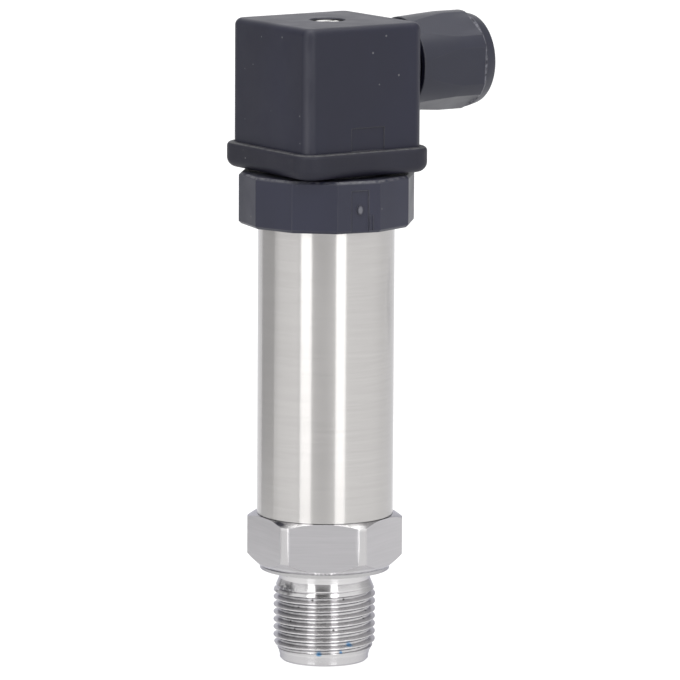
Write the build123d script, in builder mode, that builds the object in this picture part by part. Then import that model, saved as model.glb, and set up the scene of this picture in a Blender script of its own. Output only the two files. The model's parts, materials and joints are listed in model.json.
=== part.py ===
from build123d import *
from math import cos, radians, sin, tan
import os

# Pressure transmitter with an M20 x 1.5 process thread, a turned tube and a right-angle square plug.
# Millimetres. +Z runs up the transmitter's axis from the centre of the nose, +X towards the cable gland.

os.makedirs("parts", exist_ok=True)

# Clearances
fit_gap = 0.05  # radial play of parts that are pressed, screwed or slid together
seat_gap = 0.03  # play between a piece and the face that it rests on
screw_play = 0.10  # radial play of the centre screw in its bush
beyond = 1.0  # how far a cut runs out past the face that it opens

# Process end: nose, thread, relief and collar
nose_d = 17.3
nose_h = 0.9
nose_edge = 0.4
nose_top_d = 17.8
nose_taper_h = 0.95  # from the nose's straight part to the thread's chamfer
thread_d = 19.85
thread_h = 14.45  # from the top of the taper to the relief groove
thread_lead = 30.0  # slope of the chamfer at the thread's start, from the axis
thread_fade = 22.5  # slope of the cone in which the thread ends
relief_d = 17.7
relief_h = 1.9
relief_corner = 0.5
collar_d = 25.3
collar_h = 0.7
port_d = 5.0

# Hexagon
hex_flats = 27.0
hex_od = 30.2
hex_h = 10.1
hex_turn = 25.3  # angle of the first corner from +X
hex_under_d = 25.6  # where the lower chamfer starts
hex_under_h = 2.1
hex_top_d = 27.2  # where the upper chamfer ends
hex_top_h = 0.8

# Tube
tube_d = 26.5
tube_wall = 1.5
tube_h = 63.5
tube_mouth = 1.0  # inner chamfer at the upper end, seat of the O-ring
spigot_h = 9.0  # how far the fitting reaches up inside the tube

# Measuring cell
cell_d = 19.0
cell_h = 11.0
cell_floor = 2.1  # height of the cell's seat above the collar's top
cell_rim = 0.7  # radial width of the rim that the cell stands on
diaphragm_t = 0.15
diaphragm_rim = 1.2  # flat edge under the weld ring
wave_h = 0.22
weld_ring_h = 0.7
recess_h = 0.9  # depth of the diaphragm below the rim
oil_gap = 0.45
die_room_d = 10.4
die_room_h = 1.5
die_w = 3.0
die_h = 1.0
pin_d = 0.8
pin_circle_d = 8.0
pin_count = 4
pin_h = 12.0
pin_foot = 0.6  # how far a pin reaches into the die room
glass_d = 2.2
cell_cup_d = 12.0
cell_cup_h = 3.0
groove_w = 2.1
groove_depth = 1.5
groove_z = 3.6  # from the cell's rim to the groove
lock_ring_d = 20.4
lock_ring_bore = 13.0
lock_ring_h = 3.5
lock_slot_w = 2.5
lock_slot_h = 1.6
lock_ring_edge = 0.3

# Board and what it carries
holder_h = 3.0
holder_bore = 14.0
board_w = 20.4
board_t = 1.6
board_drop = 6.5  # from the tube's upper end down to the board's upper edge
board_corner = 0.5
board_inset = 1.6  # how deep the board stands in the holder's slot
chip_w = 5.0
chip_l = 6.2
chip_t = 1.6
chip_z = 22.0  # the chip and the capacitors are placed from the board's lower edge
chip_lift = 0.1
chip_edge = 0.3
leg_l = 1.6
leg_w = 0.45
leg_root = 0.2  # how far a leg reaches under the chip
leg_count = 4
leg_pitch = 1.27
cap_d = 5.0
cap_h = 6.5
cap_z = 14.0
cap_pitch = 8.0
cap_edge = 0.4
trim_w = 6.6
trim_t = 4.6
trim_screw_d = 2.6
trim_screw_h = 0.7
trim_slot_w = 0.5
trim_turn = 30.0
trim_edge = 0.4
trim_drop = 10.6  # the trimmers and the upper wires are placed from the board's upper edge
trim_pitch = 9.0
wire_d = 1.0
wire_pad_z = 10.0  # where the lower wires end on the board
wire_top_pad_drop = 6.4  # where the upper wires start
wire_leave = 3.5  # where they leave the board, below its upper edge
wire_arrive = 1.5  # straight run below a blade's tail
wire_end_gap = 0.8  # from a wire's end to the flange
outer_pad_x = 8.6
inner_pad_x = 2.5
wire_bend = 1.6

# Plug base
skirt_h = 8.5
skirt_bore = 19.8
skirt_neck = 0.6  # extra depth of the O-ring's groove at the skirt's root
flange_h = 2.0
flange_edge = 0.1  # how much narrower the flange is than the tube
platform_d = 23.6
platform_h = 1.95
boss_d = 7.2
boss_h = 1.5
boss_drop = 6.0  # length of the boss below the flange
bush_d = 5.2
bush_h = 7.5
bush_edge = 0.4
blade_w = 6.3
blade_t = 0.8
blade_h = 9.8
blade_tail_w = 2.8
blade_tail_h = 3.6
blade_nose = 1.2
contact_spacing = 18.0
contact_count = 4

# Clamp ring
ring_flats = 33.0
ring_sides = 12
ring_turn = 3.5  # angle of the first corner from +X
ring_lip = 1.5
ring_skirt = 6.5  # how far the ring reaches down over the tube
ring_edge = 0.5
ring_entry = 0.5  # chamfer that leads the ring over the tube
panel_w = 3.6
panel_h = 8.2
panel_x = 0.2  # from the middle of its face
panel_depth = 0.25
panel_face = 8  # which of the twelve faces, counted from the first corner
pip_w = 1.15
pip_h = 1.8
pip_z = 4.5  # height of the pip above the ring's lower edge
pip_proud = 0.15

# Gasket
gasket_over = 1.55  # how far it stands out past the plug
gasket_h = 4.95
gasket_web = 1.9
gasket_r = 4.0
gasket_top_edge = 0.9
gasket_low_edge = 1.9
gasket_hole_d = 20.5

# Plug housing
plug_w = 27.0
plug_h = 27.0
plug_r = 2.3
plug_edge = 1.4
plug_wall = 2.0
plug_top = 2.6
cavity_r = 1.0
head_hole_d = 6.6
head_hole_h = 3.2
head_hole_edge = 0.3
top_boss_d = 9.6
top_boss_h = 6.2
label_w = 7.5
label_h = 4.4
label_depth = 0.2
label_x = 0.45

# Terminal insert
insert_w = 22.6
insert_h = 10.0
insert_edge = 1.0
socket_lift = 0.6  # floor of the insert under a socket
socket_w = 6.9
socket_t = 2.6
socket_h = 8.6
slot_t = 1.0
slot_w = 6.6
slot_h = 8.0
clamp_w = 5.0
clamp_l = 4.4
clamp_h = 4.6
clamp_floor = 0.6
terminal_d = 3.8
terminal_head_h = 1.5
terminal_shank_d = 2.4
terminal_shank_h = 3.4
terminal_slot_w = 0.7
terminal_slot_h = 0.8
terminal_turn = 35.0

# Centre screw
screw_d = 2.9
screw_head_d = 5.5
screw_head_h = 2.1
screw_dome = 0.7
screw_slot_w = 0.9
screw_slot_h = 0.9
screw_slot_turn = 20.0
screw_tip_edge = 0.5
screw_reach = 6.4  # thread in the bush
washer_d = 5.8
washer_h = 0.8
washer_edge = 0.25

# Gland
gland_drop = 9.4  # axis below the plug's top
neck_d = 15.2
neck_l = 11.5
neck_bore = 9.0
neck_mouth_d = 12.2
neck_mouth_l = 7.8
neck_edge = 0.5
seal_l = 9.0
seal_bore = 7.0
seal_edge_r = 0.6
seal_edge_l = 0.8
thrust_od = 14.6
thrust_bore = 9.4
thrust_h = 1.2
nut_flats = 17.0
nut_turn = 2.3  # roll of the corners from upright, towards -Y
nut_gap = 3.2  # between the housing and the nut
nut_l = 17.0
nut_inner_d = 18.3
nut_cone_l = 5.6
nut_end_l = 2.9
nut_rim_d = 16.8
nut_bore = 10.0
nut_mouth_edge = 1.2
nut_edge = 0.3  # chamfers at the end towards the housing
nut_fade = 0.1  # how far inside the flats the cone ends

# Heights and radii that follow
thread_z = nose_h + nose_taper_h
thread_full_z = thread_z + (thread_d - nose_top_d) / 2 / tan(radians(thread_lead))
relief_z = thread_z + thread_h
thread_top_z = relief_z - (thread_d - relief_d) / 2 / tan(radians(thread_fade))
collar_z = relief_z + relief_h
hex_z = collar_z + collar_h
tube_z = hex_z + hex_h
tube_bore = tube_d - 2 * tube_wall
tube_top_z = tube_z + tube_h
spigot_top_z = tube_z + spigot_h
cell_z = hex_z + cell_floor
cell_top_z = cell_z + cell_h
spigot_d = tube_bore - 2 * fit_gap
holder_z = spigot_top_z
board_z = holder_z + holder_h - board_inset
board_top_z = tube_top_z - board_drop
board_h = board_top_z - board_z
flange_z = tube_top_z
flange_d = tube_d - 2 * flange_edge
platform_z = flange_z + flange_h
gasket_z = platform_z + platform_h
plug_z = gasket_z + gasket_web
plug_top_z = plug_z + plug_h
ring_z = tube_top_z - ring_skirt
ring_top_z = platform_z + ring_lip
contact_r = contact_spacing / 2
gland_z = plug_top_z - gland_drop
plug_face = plug_w / 2
nut_x = plug_face + nut_gap
nut_end_x = nut_x + nut_l
neck_end_x = plug_face + neck_l
gland_axis = Axis((0, 0, gland_z), (1, 0, 0))
contact_angles = {"contact_blade_1": 0, "contact_blade_2": 180, "contact_blade_3": 90, "earth_blade": 270}
socket_names = {"socket_contact_1": 0, "socket_contact_2": 180, "socket_contact_3": 90, "earth_socket": 270}


def finish(part, name):
    """Label a piece and write it under its own name."""
    part.label = name
    export_step(part, f"parts/{name}.step")


# Process fitting: one turned bar with its hexagon milled, drilled from both ends
nose_r = nose_d / 2
thread_r = thread_d / 2
relief_r = relief_d / 2
spigot_r = spigot_d / 2
cell_room_r = cell_d / 2 + fit_gap
lock_room_r = lock_ring_d / 2 + fit_gap
with BuildPart() as process_fitting:
    with BuildSketch(Plane.XZ):
        with BuildLine():
            Polyline(
                (0, 0),
                (nose_r - nose_edge, 0),
                (nose_r, nose_edge),
                (nose_r, nose_h),
                (nose_top_d / 2, thread_z),
                (thread_r, thread_full_z),
                (thread_r, thread_top_z),
                (relief_r, relief_z),
                (relief_r, collar_z),
                (collar_d / 2, collar_z),
                (collar_d / 2, hex_z),
                (hex_under_d / 2, hex_z),
                (hex_od / 2, hex_z + hex_under_h),
                (hex_od / 2, tube_z - hex_top_h),
                (hex_top_d / 2, tube_z),
                (spigot_r, tube_z),
                (spigot_r, spigot_top_z),
                (0, spigot_top_z),
                close=True,
            )
        make_face()
    revolve(axis=Axis.Z)
    collar_root = process_fitting.edges().filter_by(GeomType.CIRCLE).filter_by(
        lambda e: abs(e.radius - relief_r) < 0.01 and abs(e.center().Z - collar_z) < 0.01
    )
    fillet(collar_root, radius=relief_corner)
    with BuildSketch(Plane.XY.offset(hex_z)):
        Circle(hex_od)
        RegularPolygon(hex_flats / 2, 6, major_radius=False, rotation=hex_turn, mode=Mode.SUBTRACT)
    extrude(amount=hex_h, mode=Mode.SUBTRACT)
    # the cell's room, the thread of the lock ring above it and the pressure port below it
    with BuildSketch(Plane.XZ):
        with BuildLine():
            Polyline(
                (0, -beyond),
                (port_d / 2, -beyond),
                (port_d / 2, cell_z),
                (cell_room_r, cell_z),
                (cell_room_r, cell_top_z),
                (lock_room_r, cell_top_z),
                (lock_room_r, spigot_top_z + beyond),
                (0, spigot_top_z + beyond),
                close=True,
            )
        make_face()
    revolve(axis=Axis.Z, mode=Mode.SUBTRACT)
finish(process_fitting.part, "process_fitting")

# Housing tube, chamfered inside at its upper end
with BuildPart() as housing_tube:
    with BuildSketch(Plane.XY.offset(tube_z)):
        Circle(tube_d / 2)
        Circle(tube_bore / 2, mode=Mode.SUBTRACT)
    extrude(amount=tube_h)
    mouth = housing_tube.faces().sort_by(Axis.Z)[-1].edges().sort_by(SortBy.RADIUS)[0]
    chamfer(mouth, length=tube_mouth)
finish(housing_tube.part, "housing_tube")

# Measuring cell: header, diaphragm, weld ring, silicon die, pins and their glass
cell_r = cell_d / 2
web_z = cell_z + recess_h  # underside of the header over the diaphragm
rim_r = cell_r - cell_rim
wave_r = rim_r - diaphragm_rim
cup_z = cell_top_z - cell_cup_h
die_top_z = web_z + oil_gap + die_room_h
pins = PolarLocations(pin_circle_d / 2, pin_count, start_angle=360 / pin_count / 2)
with BuildPart() as sensor_header:
    with BuildSketch(Plane.XZ):
        with BuildLine():
            Polyline(
                (rim_r, cell_z),
                (cell_r, cell_z),
                (cell_r, cell_z + groove_z),
                (cell_r - groove_depth, cell_z + groove_z),
                (cell_r - groove_depth, cell_z + groove_z + groove_w),
                (cell_r, cell_z + groove_z + groove_w),
                (cell_r, cell_top_z),
                (cell_cup_d / 2, cell_top_z),
                (cell_cup_d / 2, cup_z),
                (0, cup_z),
                (0, die_top_z),
                (die_room_d / 2, die_top_z),
                (die_room_d / 2, web_z + oil_gap),
                (wave_r, web_z + oil_gap),
                (wave_r, web_z),
                (rim_r, web_z),
                close=True,
            )
        make_face()
    revolve(axis=Axis.Z)
    with BuildSketch(Plane.XY.offset(die_top_z)):
        with pins:
            Circle(glass_d / 2)
    extrude(amount=cup_z - die_top_z, mode=Mode.SUBTRACT)
finish(sensor_header.part, "sensor_header")

with BuildPart() as sensor_diaphragm:
    with BuildSketch(Plane.XZ):
        with BuildLine():
            middle = web_z - diaphragm_t
            step = wave_r / 4
            top = Spline(
                (0, web_z),
                (step, web_z - wave_h),
                (2 * step, web_z),
                (3 * step, web_z - wave_h),
                (4 * step, web_z),
                tangents=[(1, 0), (1, 0)],
            )
            Line(top @ 1, (rim_r - fit_gap, web_z))
            Line((rim_r - fit_gap, web_z), (rim_r - fit_gap, middle))
            Line((rim_r - fit_gap, middle), (wave_r, middle))
            low = Spline(
                (wave_r, middle),
                (3 * step, middle - wave_h),
                (2 * step, middle),
                (step, middle - wave_h),
                (0, middle),
                tangents=[(-1, 0), (-1, 0)],
            )
            Line(low @ 1, (0, web_z))
        make_face()
    revolve(axis=Axis.Z)
finish(sensor_diaphragm.part, "sensor_diaphragm")

with BuildPart() as sensor_weld_ring:
    with BuildSketch(Plane.XY.offset(web_z - diaphragm_t - weld_ring_h)):
        Circle(rim_r - fit_gap)
        Circle(wave_r + fit_gap, mode=Mode.SUBTRACT)
    extrude(amount=weld_ring_h)
finish(sensor_weld_ring.part, "sensor_weld_ring")

with BuildPart() as sensor_die:
    with BuildSketch(Plane.XY.offset(die_top_z)):
        Rectangle(die_w, die_w)
    extrude(amount=-die_h)
finish(sensor_die.part, "sensor_die")

with BuildPart() as sensor_pins:
    with BuildSketch(Plane.XY.offset(die_top_z - pin_foot)):
        with pins:
            Circle(pin_d / 2)
    extrude(amount=pin_h)
finish(sensor_pins.part, "sensor_pins")

with BuildPart() as pin_glass_seals:
    with BuildSketch(Plane.XY.offset(die_top_z)):
        with pins:
            Circle(glass_d / 2 - fit_gap / 5)
            Circle(pin_d / 2 + fit_gap / 5, mode=Mode.SUBTRACT)
    extrude(amount=cup_z - die_top_z)
finish(pin_glass_seals.part, "pin_glass_seals")

# O-ring in the cell's groove: it fills the groove's depth and stops short of the wall
seal_cord_r = groove_depth / 2
with BuildPart() as sensor_seal:
    with BuildSketch(Plane.XZ):
        with Locations((cell_r - groove_depth + seal_cord_r, cell_z + groove_z + groove_w / 2)):
            Circle(seal_cord_r - fit_gap / 5)
    revolve(axis=Axis.Z)
finish(sensor_seal.part, "sensor_seal")

# Lock ring, screwed down on the cell, with two slots for a pin spanner
with BuildPart() as sensor_lock_ring:
    with BuildSketch(Plane.XY.offset(cell_top_z)):
        Circle(lock_ring_d / 2)
        Circle(lock_ring_bore / 2, mode=Mode.SUBTRACT)
    extrude(amount=lock_ring_h)
    with BuildSketch(Plane.XY.offset(cell_top_z + lock_ring_h)):
        Rectangle(lock_ring_d + 2 * beyond, lock_slot_w)
    extrude(amount=-lock_slot_h, mode=Mode.SUBTRACT)
    chamfer(sensor_lock_ring.faces().sort_by(Axis.Z)[0].edges(), length=lock_ring_edge)
finish(sensor_lock_ring.part, "sensor_lock_ring")

# Board holder: a ring on the spigot's end with a slot for the board's lower edge
with BuildPart() as board_holder:
    with BuildSketch(Plane.XY.offset(holder_z)):
        Circle(tube_bore / 2 - fit_gap)
        Circle(holder_bore / 2, mode=Mode.SUBTRACT)
    extrude(amount=holder_h)
    with BuildSketch(Plane.XY.offset(board_z)):
        Rectangle(board_w + 2 * fit_gap, board_t + 2 * fit_gap)
    extrude(amount=board_inset, mode=Mode.SUBTRACT)
finish(board_holder.part, "board_holder")

# Board, upright in the middle of the tube; the chip and the trimmers stand on its -Y side
board_plane = Plane(origin=(0, 0, board_z), x_dir=(1, 0, 0), z_dir=(0, -1, 0))
with BuildPart() as circuit_board:
    with BuildSketch(board_plane):
        with Locations((0, board_h / 2)):
            RectangleRounded(board_w, board_h, board_corner)
    extrude(amount=board_t / 2, both=True)
finish(circuit_board.part, "circuit_board")

# Amplifier chip with a row of legs on each long side
with BuildPart() as amplifier_chip:
    with BuildSketch(board_plane.offset(board_t / 2 + chip_lift)):
        with Locations((0, chip_z)):
            Rectangle(chip_w, chip_l)
    extrude(amount=chip_t)
    chamfer(amplifier_chip.faces().sort_by(Axis.Y)[0].edges(), length=chip_edge)
    with BuildSketch(board_plane.offset(board_t / 2)):
        with Locations((0, chip_z)):
            with GridLocations(chip_w + leg_l - 2 * leg_root, leg_pitch, 2, leg_count):
                Rectangle(leg_l, leg_w)
    extrude(amount=chip_t / 2)
finish(amplifier_chip.part, "amplifier_chip")

with BuildPart() as capacitors:
    with BuildSketch(board_plane.offset(board_t / 2)):
        with Locations((0, cap_z)):
            with GridLocations(cap_pitch, 1, 2, 1):
                Circle(cap_d / 2)
    extrude(amount=cap_h)
    fillet(capacitors.faces().filter_by(Axis.Y).sort_by(Axis.Y)[:2].edges(), radius=cap_edge)
finish(capacitors.part, "capacitors")

# Trimmers for zero and span, each with a slotted screw
trim_z = board_h - trim_drop
for name, side in (("zero_trimmer", -1), ("span_trimmer", 1)):
    with BuildPart() as trimmer:
        with BuildSketch(board_plane.offset(board_t / 2)):
            with Locations((side * trim_pitch / 2, trim_z)):
                Rectangle(trim_w, trim_w)
        extrude(amount=trim_t)
        chamfer(trimmer.edges().filter_by(Axis.Y), length=trim_edge)
        with BuildSketch(board_plane.offset(board_t / 2 + trim_t)):
            with Locations((side * trim_pitch / 2, trim_z)):
                Circle(trim_screw_d / 2)
                Rectangle(trim_screw_d, trim_slot_w, rotation=trim_turn * side, mode=Mode.SUBTRACT)
        extrude(amount=trim_screw_h)
    finish(trimmer.part, name)

# Wires: from the pins to the board, and from the board to the blades' tails
wire_r = wire_d / 2
wire_y = board_t / 2 + wire_r + seat_gap
pin_top_z = die_top_z - pin_foot + pin_h
pin_xy = pin_circle_d / 2 * cos(radians(45))
lower_routes = []
for x_side in (-1, 1):
    for y_side in (-1, 1):
        lower_routes.append([
            (x_side * pin_xy, y_side * pin_xy, pin_top_z + seat_gap),
            (x_side * pin_xy, y_side * pin_xy, holder_z + holder_h),
            (x_side * pin_xy, y_side * wire_y, board_z + wire_pad_z / 2),
            (x_side * pin_xy, y_side * wire_y, board_z + wire_pad_z),
        ])
tail_r = contact_r - blade_t / 2 - wire_r - seat_gap
tail_z = flange_z - blade_tail_h
upper_wires = (
    (outer_pad_x, -1, tail_r, -wire_y),
    (-outer_pad_x, -1, -tail_r, -wire_y),
    (inner_pad_x, 1, 0, tail_r),
    (-inner_pad_x, -1, 0, -tail_r),
)
upper_routes = []
for pad_x, side, end_x, end_y in upper_wires:
    upper_routes.append([
        (pad_x, side * wire_y, board_top_z - wire_top_pad_drop),
        (pad_x, side * wire_y, board_top_z - wire_leave),
        (end_x, end_y, tail_z - wire_arrive),
        (end_x, end_y, flange_z - wire_end_gap),
    ])
for name, routes in (("sensor_leads", lower_routes), ("connector_leads", upper_routes)):
    with BuildPart() as leads:
        for route in routes:
            with BuildLine() as path:
                FilletPolyline(*route, radius=wire_bend)
            with BuildSketch(Plane(origin=route[0], z_dir=path.line % 0)):
                Circle(wire_r)
            sweep(path=path.line)
    finish(leads.part, name)

# Plug base: skirt in the tube, flange on its end, platform and boss above
groove_r = tube_bore / 2 - fit_gap - skirt_neck
with BuildPart() as connector_base:
    with BuildSketch(Plane.XZ):
        with BuildLine():
            Polyline(
                (0, flange_z),
                (skirt_bore / 2, flange_z),
                (skirt_bore / 2, flange_z - skirt_h),
                (tube_bore / 2 - fit_gap, flange_z - skirt_h),
                (tube_bore / 2 - fit_gap, flange_z - tube_mouth - skirt_neck),
                (groove_r, flange_z - tube_mouth - skirt_neck),
                (groove_r, flange_z),
                (flange_d / 2, flange_z),
                (flange_d / 2, platform_z),
                (platform_d / 2, platform_z),
                (platform_d / 2, gasket_z),
                (0, gasket_z),
                close=True,
            )
        make_face()
    revolve(axis=Axis.Z)
    with BuildSketch(Plane.XY.offset(flange_z - boss_drop)):
        Circle(boss_d / 2)
    extrude(amount=boss_drop + flange_h + platform_h + boss_h)
    with BuildSketch(Plane.XY.offset(gasket_z + boss_h)):
        Circle(bush_d / 2 + fit_gap)
    extrude(amount=-bush_h, mode=Mode.SUBTRACT)
    # slots in the skirt for the board's upper edge
    with BuildSketch(Plane.XY.offset(flange_z - skirt_h)):
        Rectangle(board_w + 2 * fit_gap, board_t + 2 * fit_gap)
    extrude(amount=board_top_z - (flange_z - skirt_h) + fit_gap, mode=Mode.SUBTRACT)
    # a slot through the web for each blade
    with BuildSketch(Plane.XY.offset(flange_z - beyond)):
        with PolarLocations(contact_r, contact_count):
            Rectangle(blade_t + 2 * fit_gap, blade_w + 2 * fit_gap)
    extrude(amount=flange_h + platform_h + 2 * beyond, mode=Mode.SUBTRACT)
finish(connector_base.part, "connector_base")

# O-ring between the skirt's root, the flange and the tube's chamfered mouth
base_cord_r = (tube_mouth + fit_gap + skirt_neck) * (1 - 0.5 ** 0.5) - fit_gap / 2
with BuildPart() as base_o_ring:
    with BuildSketch(Plane.XZ):
        with Locations((groove_r + base_cord_r + seat_gap / 2, flange_z - base_cord_r - seat_gap / 2)):
            Circle(base_cord_r)
    revolve(axis=Axis.Z)
finish(base_o_ring.part, "base_o_ring")

# Threaded brass bush in the boss, for the centre screw
with BuildPart() as centre_nut:
    with BuildSketch(Plane.XY.offset(gasket_z + boss_h)):
        Circle(bush_d / 2)
        Circle(screw_d / 2 + screw_play, mode=Mode.SUBTRACT)
    extrude(amount=-(bush_h - fit_gap))
    chamfer(centre_nut.faces().sort_by(Axis.Z)[-1].edges().sort_by(SortBy.RADIUS)[0], length=bush_edge)
finish(centre_nut.part, "centre_nut")

# Blades: a wide tab with a pointed end above the web and a narrow tail below it
for name, angle in contact_angles.items():
    centre = (contact_r * cos(radians(angle)), contact_r * sin(radians(angle)), flange_z)
    outward = (cos(radians(angle)), sin(radians(angle)), 0)
    across = (-sin(radians(angle)), cos(radians(angle)), 0)
    tab_h = flange_h + platform_h + blade_h
    with BuildPart() as blade:
        with BuildSketch(Plane(origin=centre, x_dir=across, z_dir=outward)):
            with BuildLine():
                Polyline(
                    (-blade_w / 2, 0),
                    (-blade_tail_w / 2, 0),
                    (-blade_tail_w / 2, -blade_tail_h),
                    (blade_tail_w / 2, -blade_tail_h),
                    (blade_tail_w / 2, 0),
                    (blade_w / 2, 0),
                    (blade_w / 2, tab_h - blade_nose),
                    (blade_w / 2 - blade_nose, tab_h),
                    (-blade_w / 2 + blade_nose, tab_h),
                    (-blade_w / 2, tab_h - blade_nose),
                    close=True,
                )
            make_face()
        extrude(amount=blade_t / 2, both=True)
    finish(blade.part, name)

# Clamp ring: twelve flats outside, bored for the tube, with a lip over the base's flange
face_angle = ring_turn + (panel_face + 0.5) * 360 / ring_sides
face_out = (cos(radians(face_angle)), sin(radians(face_angle)), 0)
face_across = (-sin(radians(face_angle)), cos(radians(face_angle)), 0)
face_centre = (ring_flats / 2 * face_out[0], ring_flats / 2 * face_out[1], ring_z)
face_plane = Plane(origin=face_centre, x_dir=face_across, z_dir=face_out)
with BuildPart() as clamp_ring:
    with BuildSketch(Plane.XY.offset(ring_z)):
        RegularPolygon(ring_flats / 2, ring_sides, major_radius=False, rotation=ring_turn)
    extrude(amount=ring_top_z - ring_z)
    chamfer(clamp_ring.faces().filter_by(Axis.Z).edges(), length=ring_edge)
    with BuildSketch(Plane.XZ):
        with BuildLine():
            Polyline(
                (0, ring_z - beyond),
                (tube_d / 2 + fit_gap + ring_entry + beyond, ring_z - beyond),
                (tube_d / 2 + fit_gap, ring_z + ring_entry),
                (tube_d / 2 + fit_gap, platform_z),
                (platform_d / 2 + fit_gap, platform_z),
                (platform_d / 2 + fit_gap, ring_top_z + beyond),
                (0, ring_top_z + beyond),
                close=True,
            )
        make_face()
    revolve(axis=Axis.Z, mode=Mode.SUBTRACT)
    # shallow panel on one flat, with a pip on it
    with BuildSketch(face_plane):
        with Locations((panel_x, panel_h / 2)):
            Rectangle(panel_w, panel_h)
    extrude(amount=-panel_depth, mode=Mode.SUBTRACT)
    with BuildSketch(face_plane.offset(-panel_depth)):
        with Locations((panel_x, pip_z)):
            Ellipse(pip_w / 2, pip_h / 2)
    extrude(amount=panel_depth + pip_proud)
finish(clamp_ring.part, "clamp_ring")

# Boot gasket: a frame round the plug's lower edge with a flat web under it
gasket_half = plug_w / 2 + gasket_over
with BuildPart() as profile_gasket:
    with BuildSketch(Plane.XY.offset(gasket_z)):
        RectangleRounded(2 * gasket_half, 2 * gasket_half, gasket_r)
    extrude(amount=gasket_h)
    fillet(profile_gasket.faces().sort_by(Axis.Z)[-1].edges(), radius=gasket_top_edge)
    fillet(profile_gasket.faces().sort_by(Axis.Z)[0].edges(), radius=gasket_low_edge)
    with BuildSketch(Plane.XY.offset(plug_z)):
        RectangleRounded(plug_w + 2 * fit_gap, plug_w + 2 * fit_gap, plug_r + fit_gap)
    extrude(amount=gasket_h, mode=Mode.SUBTRACT)
    with BuildSketch(Plane.XY.offset(gasket_z - beyond)):
        Circle(gasket_hole_d / 2)
    extrude(amount=gasket_web + 2 * beyond, mode=Mode.SUBTRACT)
finish(profile_gasket.part, "profile_gasket")

# Plug housing: a moulded cup, open below, with a threaded neck on its side
with BuildPart() as plug_housing:
    with BuildSketch(Plane.XY.offset(plug_z)):
        RectangleRounded(plug_w, plug_w, plug_r)
    extrude(amount=plug_h)
    fillet(plug_housing.faces().sort_by(Axis.Z)[-1].edges(), radius=plug_edge)
    with BuildSketch(Plane.YZ.offset(plug_face - plug_wall / 2)):
        with Locations((0, gland_z)):
            Circle(neck_d / 2)
    extrude(amount=neck_l + plug_wall / 2)
    chamfer(plug_housing.faces().sort_by(Axis.X)[-1].edges(), length=neck_edge)
    cavity_w = plug_w - 2 * plug_wall
    with BuildSketch(Plane.XY.offset(plug_z)):
        RectangleRounded(cavity_w, cavity_w, cavity_r)
    extrude(amount=plug_h - plug_top, mode=Mode.SUBTRACT)
    with BuildSketch(Plane.XY.offset(plug_top_z - plug_top)):
        Circle(top_boss_d / 2)
    extrude(amount=-(top_boss_h - plug_top))
    with BuildSketch(Plane.XY.offset(plug_top_z)):
        Circle(head_hole_d / 2)
    extrude(amount=-head_hole_h, mode=Mode.SUBTRACT)
    with BuildSketch(Plane.XY.offset(plug_top_z)):
        Circle(screw_d / 2 + 2 * screw_play)
    extrude(amount=-top_boss_h, mode=Mode.SUBTRACT)
    rim = plug_housing.faces().sort_by(Axis.Z)[-1].inner_wires()[0].edges()
    chamfer(rim, length=head_hole_edge)
    # the neck's wire way and the room for the cable seal
    with BuildSketch(Plane.XZ):
        with BuildLine():
            Polyline(
                (plug_face - plug_wall - beyond, gland_z),
                (neck_end_x + beyond, gland_z),
                (neck_end_x + beyond, gland_z + neck_mouth_d / 2),
                (neck_end_x - neck_mouth_l, gland_z + neck_mouth_d / 2),
                (neck_end_x - neck_mouth_l, gland_z + neck_bore / 2),
                (plug_face - plug_wall - beyond, gland_z + neck_bore / 2),
                close=True,
            )
        make_face()
    revolve(axis=gland_axis, mode=Mode.SUBTRACT)
    # shallow blank inlay above the gasket, on the -Y side
    with BuildSketch(Plane(origin=(0, -plug_w / 2, gasket_z + gasket_h), x_dir=(1, 0, 0), z_dir=(0, -1, 0))):
        with Locations((label_x, label_h / 2)):
            Rectangle(label_w, label_h)
    extrude(amount=-label_depth, mode=Mode.SUBTRACT)
finish(plug_housing.part, "plug_housing")

# Terminal insert: a square block that fills the plug's lower end, pocketed for the contacts
insert_z = plug_z
insert_top_z = insert_z + insert_h
socket_z = insert_z + socket_lift
clamp_r = contact_r - socket_t / 2 - clamp_l / 2
with BuildPart() as terminal_block:
    with BuildSketch(Plane.XY.offset(insert_z)):
        RectangleRounded(insert_w, insert_w, insert_edge)
    extrude(amount=insert_h)
    with BuildSketch(Plane.XY.offset(insert_z)):
        with PolarLocations(contact_r, contact_count):
            Rectangle(slot_t + 4 * fit_gap, slot_w + 2 * fit_gap)
    extrude(amount=insert_h, mode=Mode.SUBTRACT)
    with BuildSketch(Plane.XY.offset(socket_z)):
        with PolarLocations(contact_r, contact_count):
            Rectangle(socket_t + 2 * fit_gap, socket_w + 2 * fit_gap)
    extrude(amount=insert_h, mode=Mode.SUBTRACT)
    with BuildSketch(Plane.XY.offset(insert_top_z - clamp_h)):
        with PolarLocations(clamp_r, contact_count):
            Rectangle(clamp_l + 2 * fit_gap, clamp_w + 2 * fit_gap)
    extrude(amount=clamp_h, mode=Mode.SUBTRACT)
    # the centre screw's way
    with BuildSketch(Plane.XY.offset(insert_z)):
        Circle(screw_d / 2 + 3 * screw_play)
    extrude(amount=insert_h, mode=Mode.SUBTRACT)
finish(terminal_block.part, "terminal_block")

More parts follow.
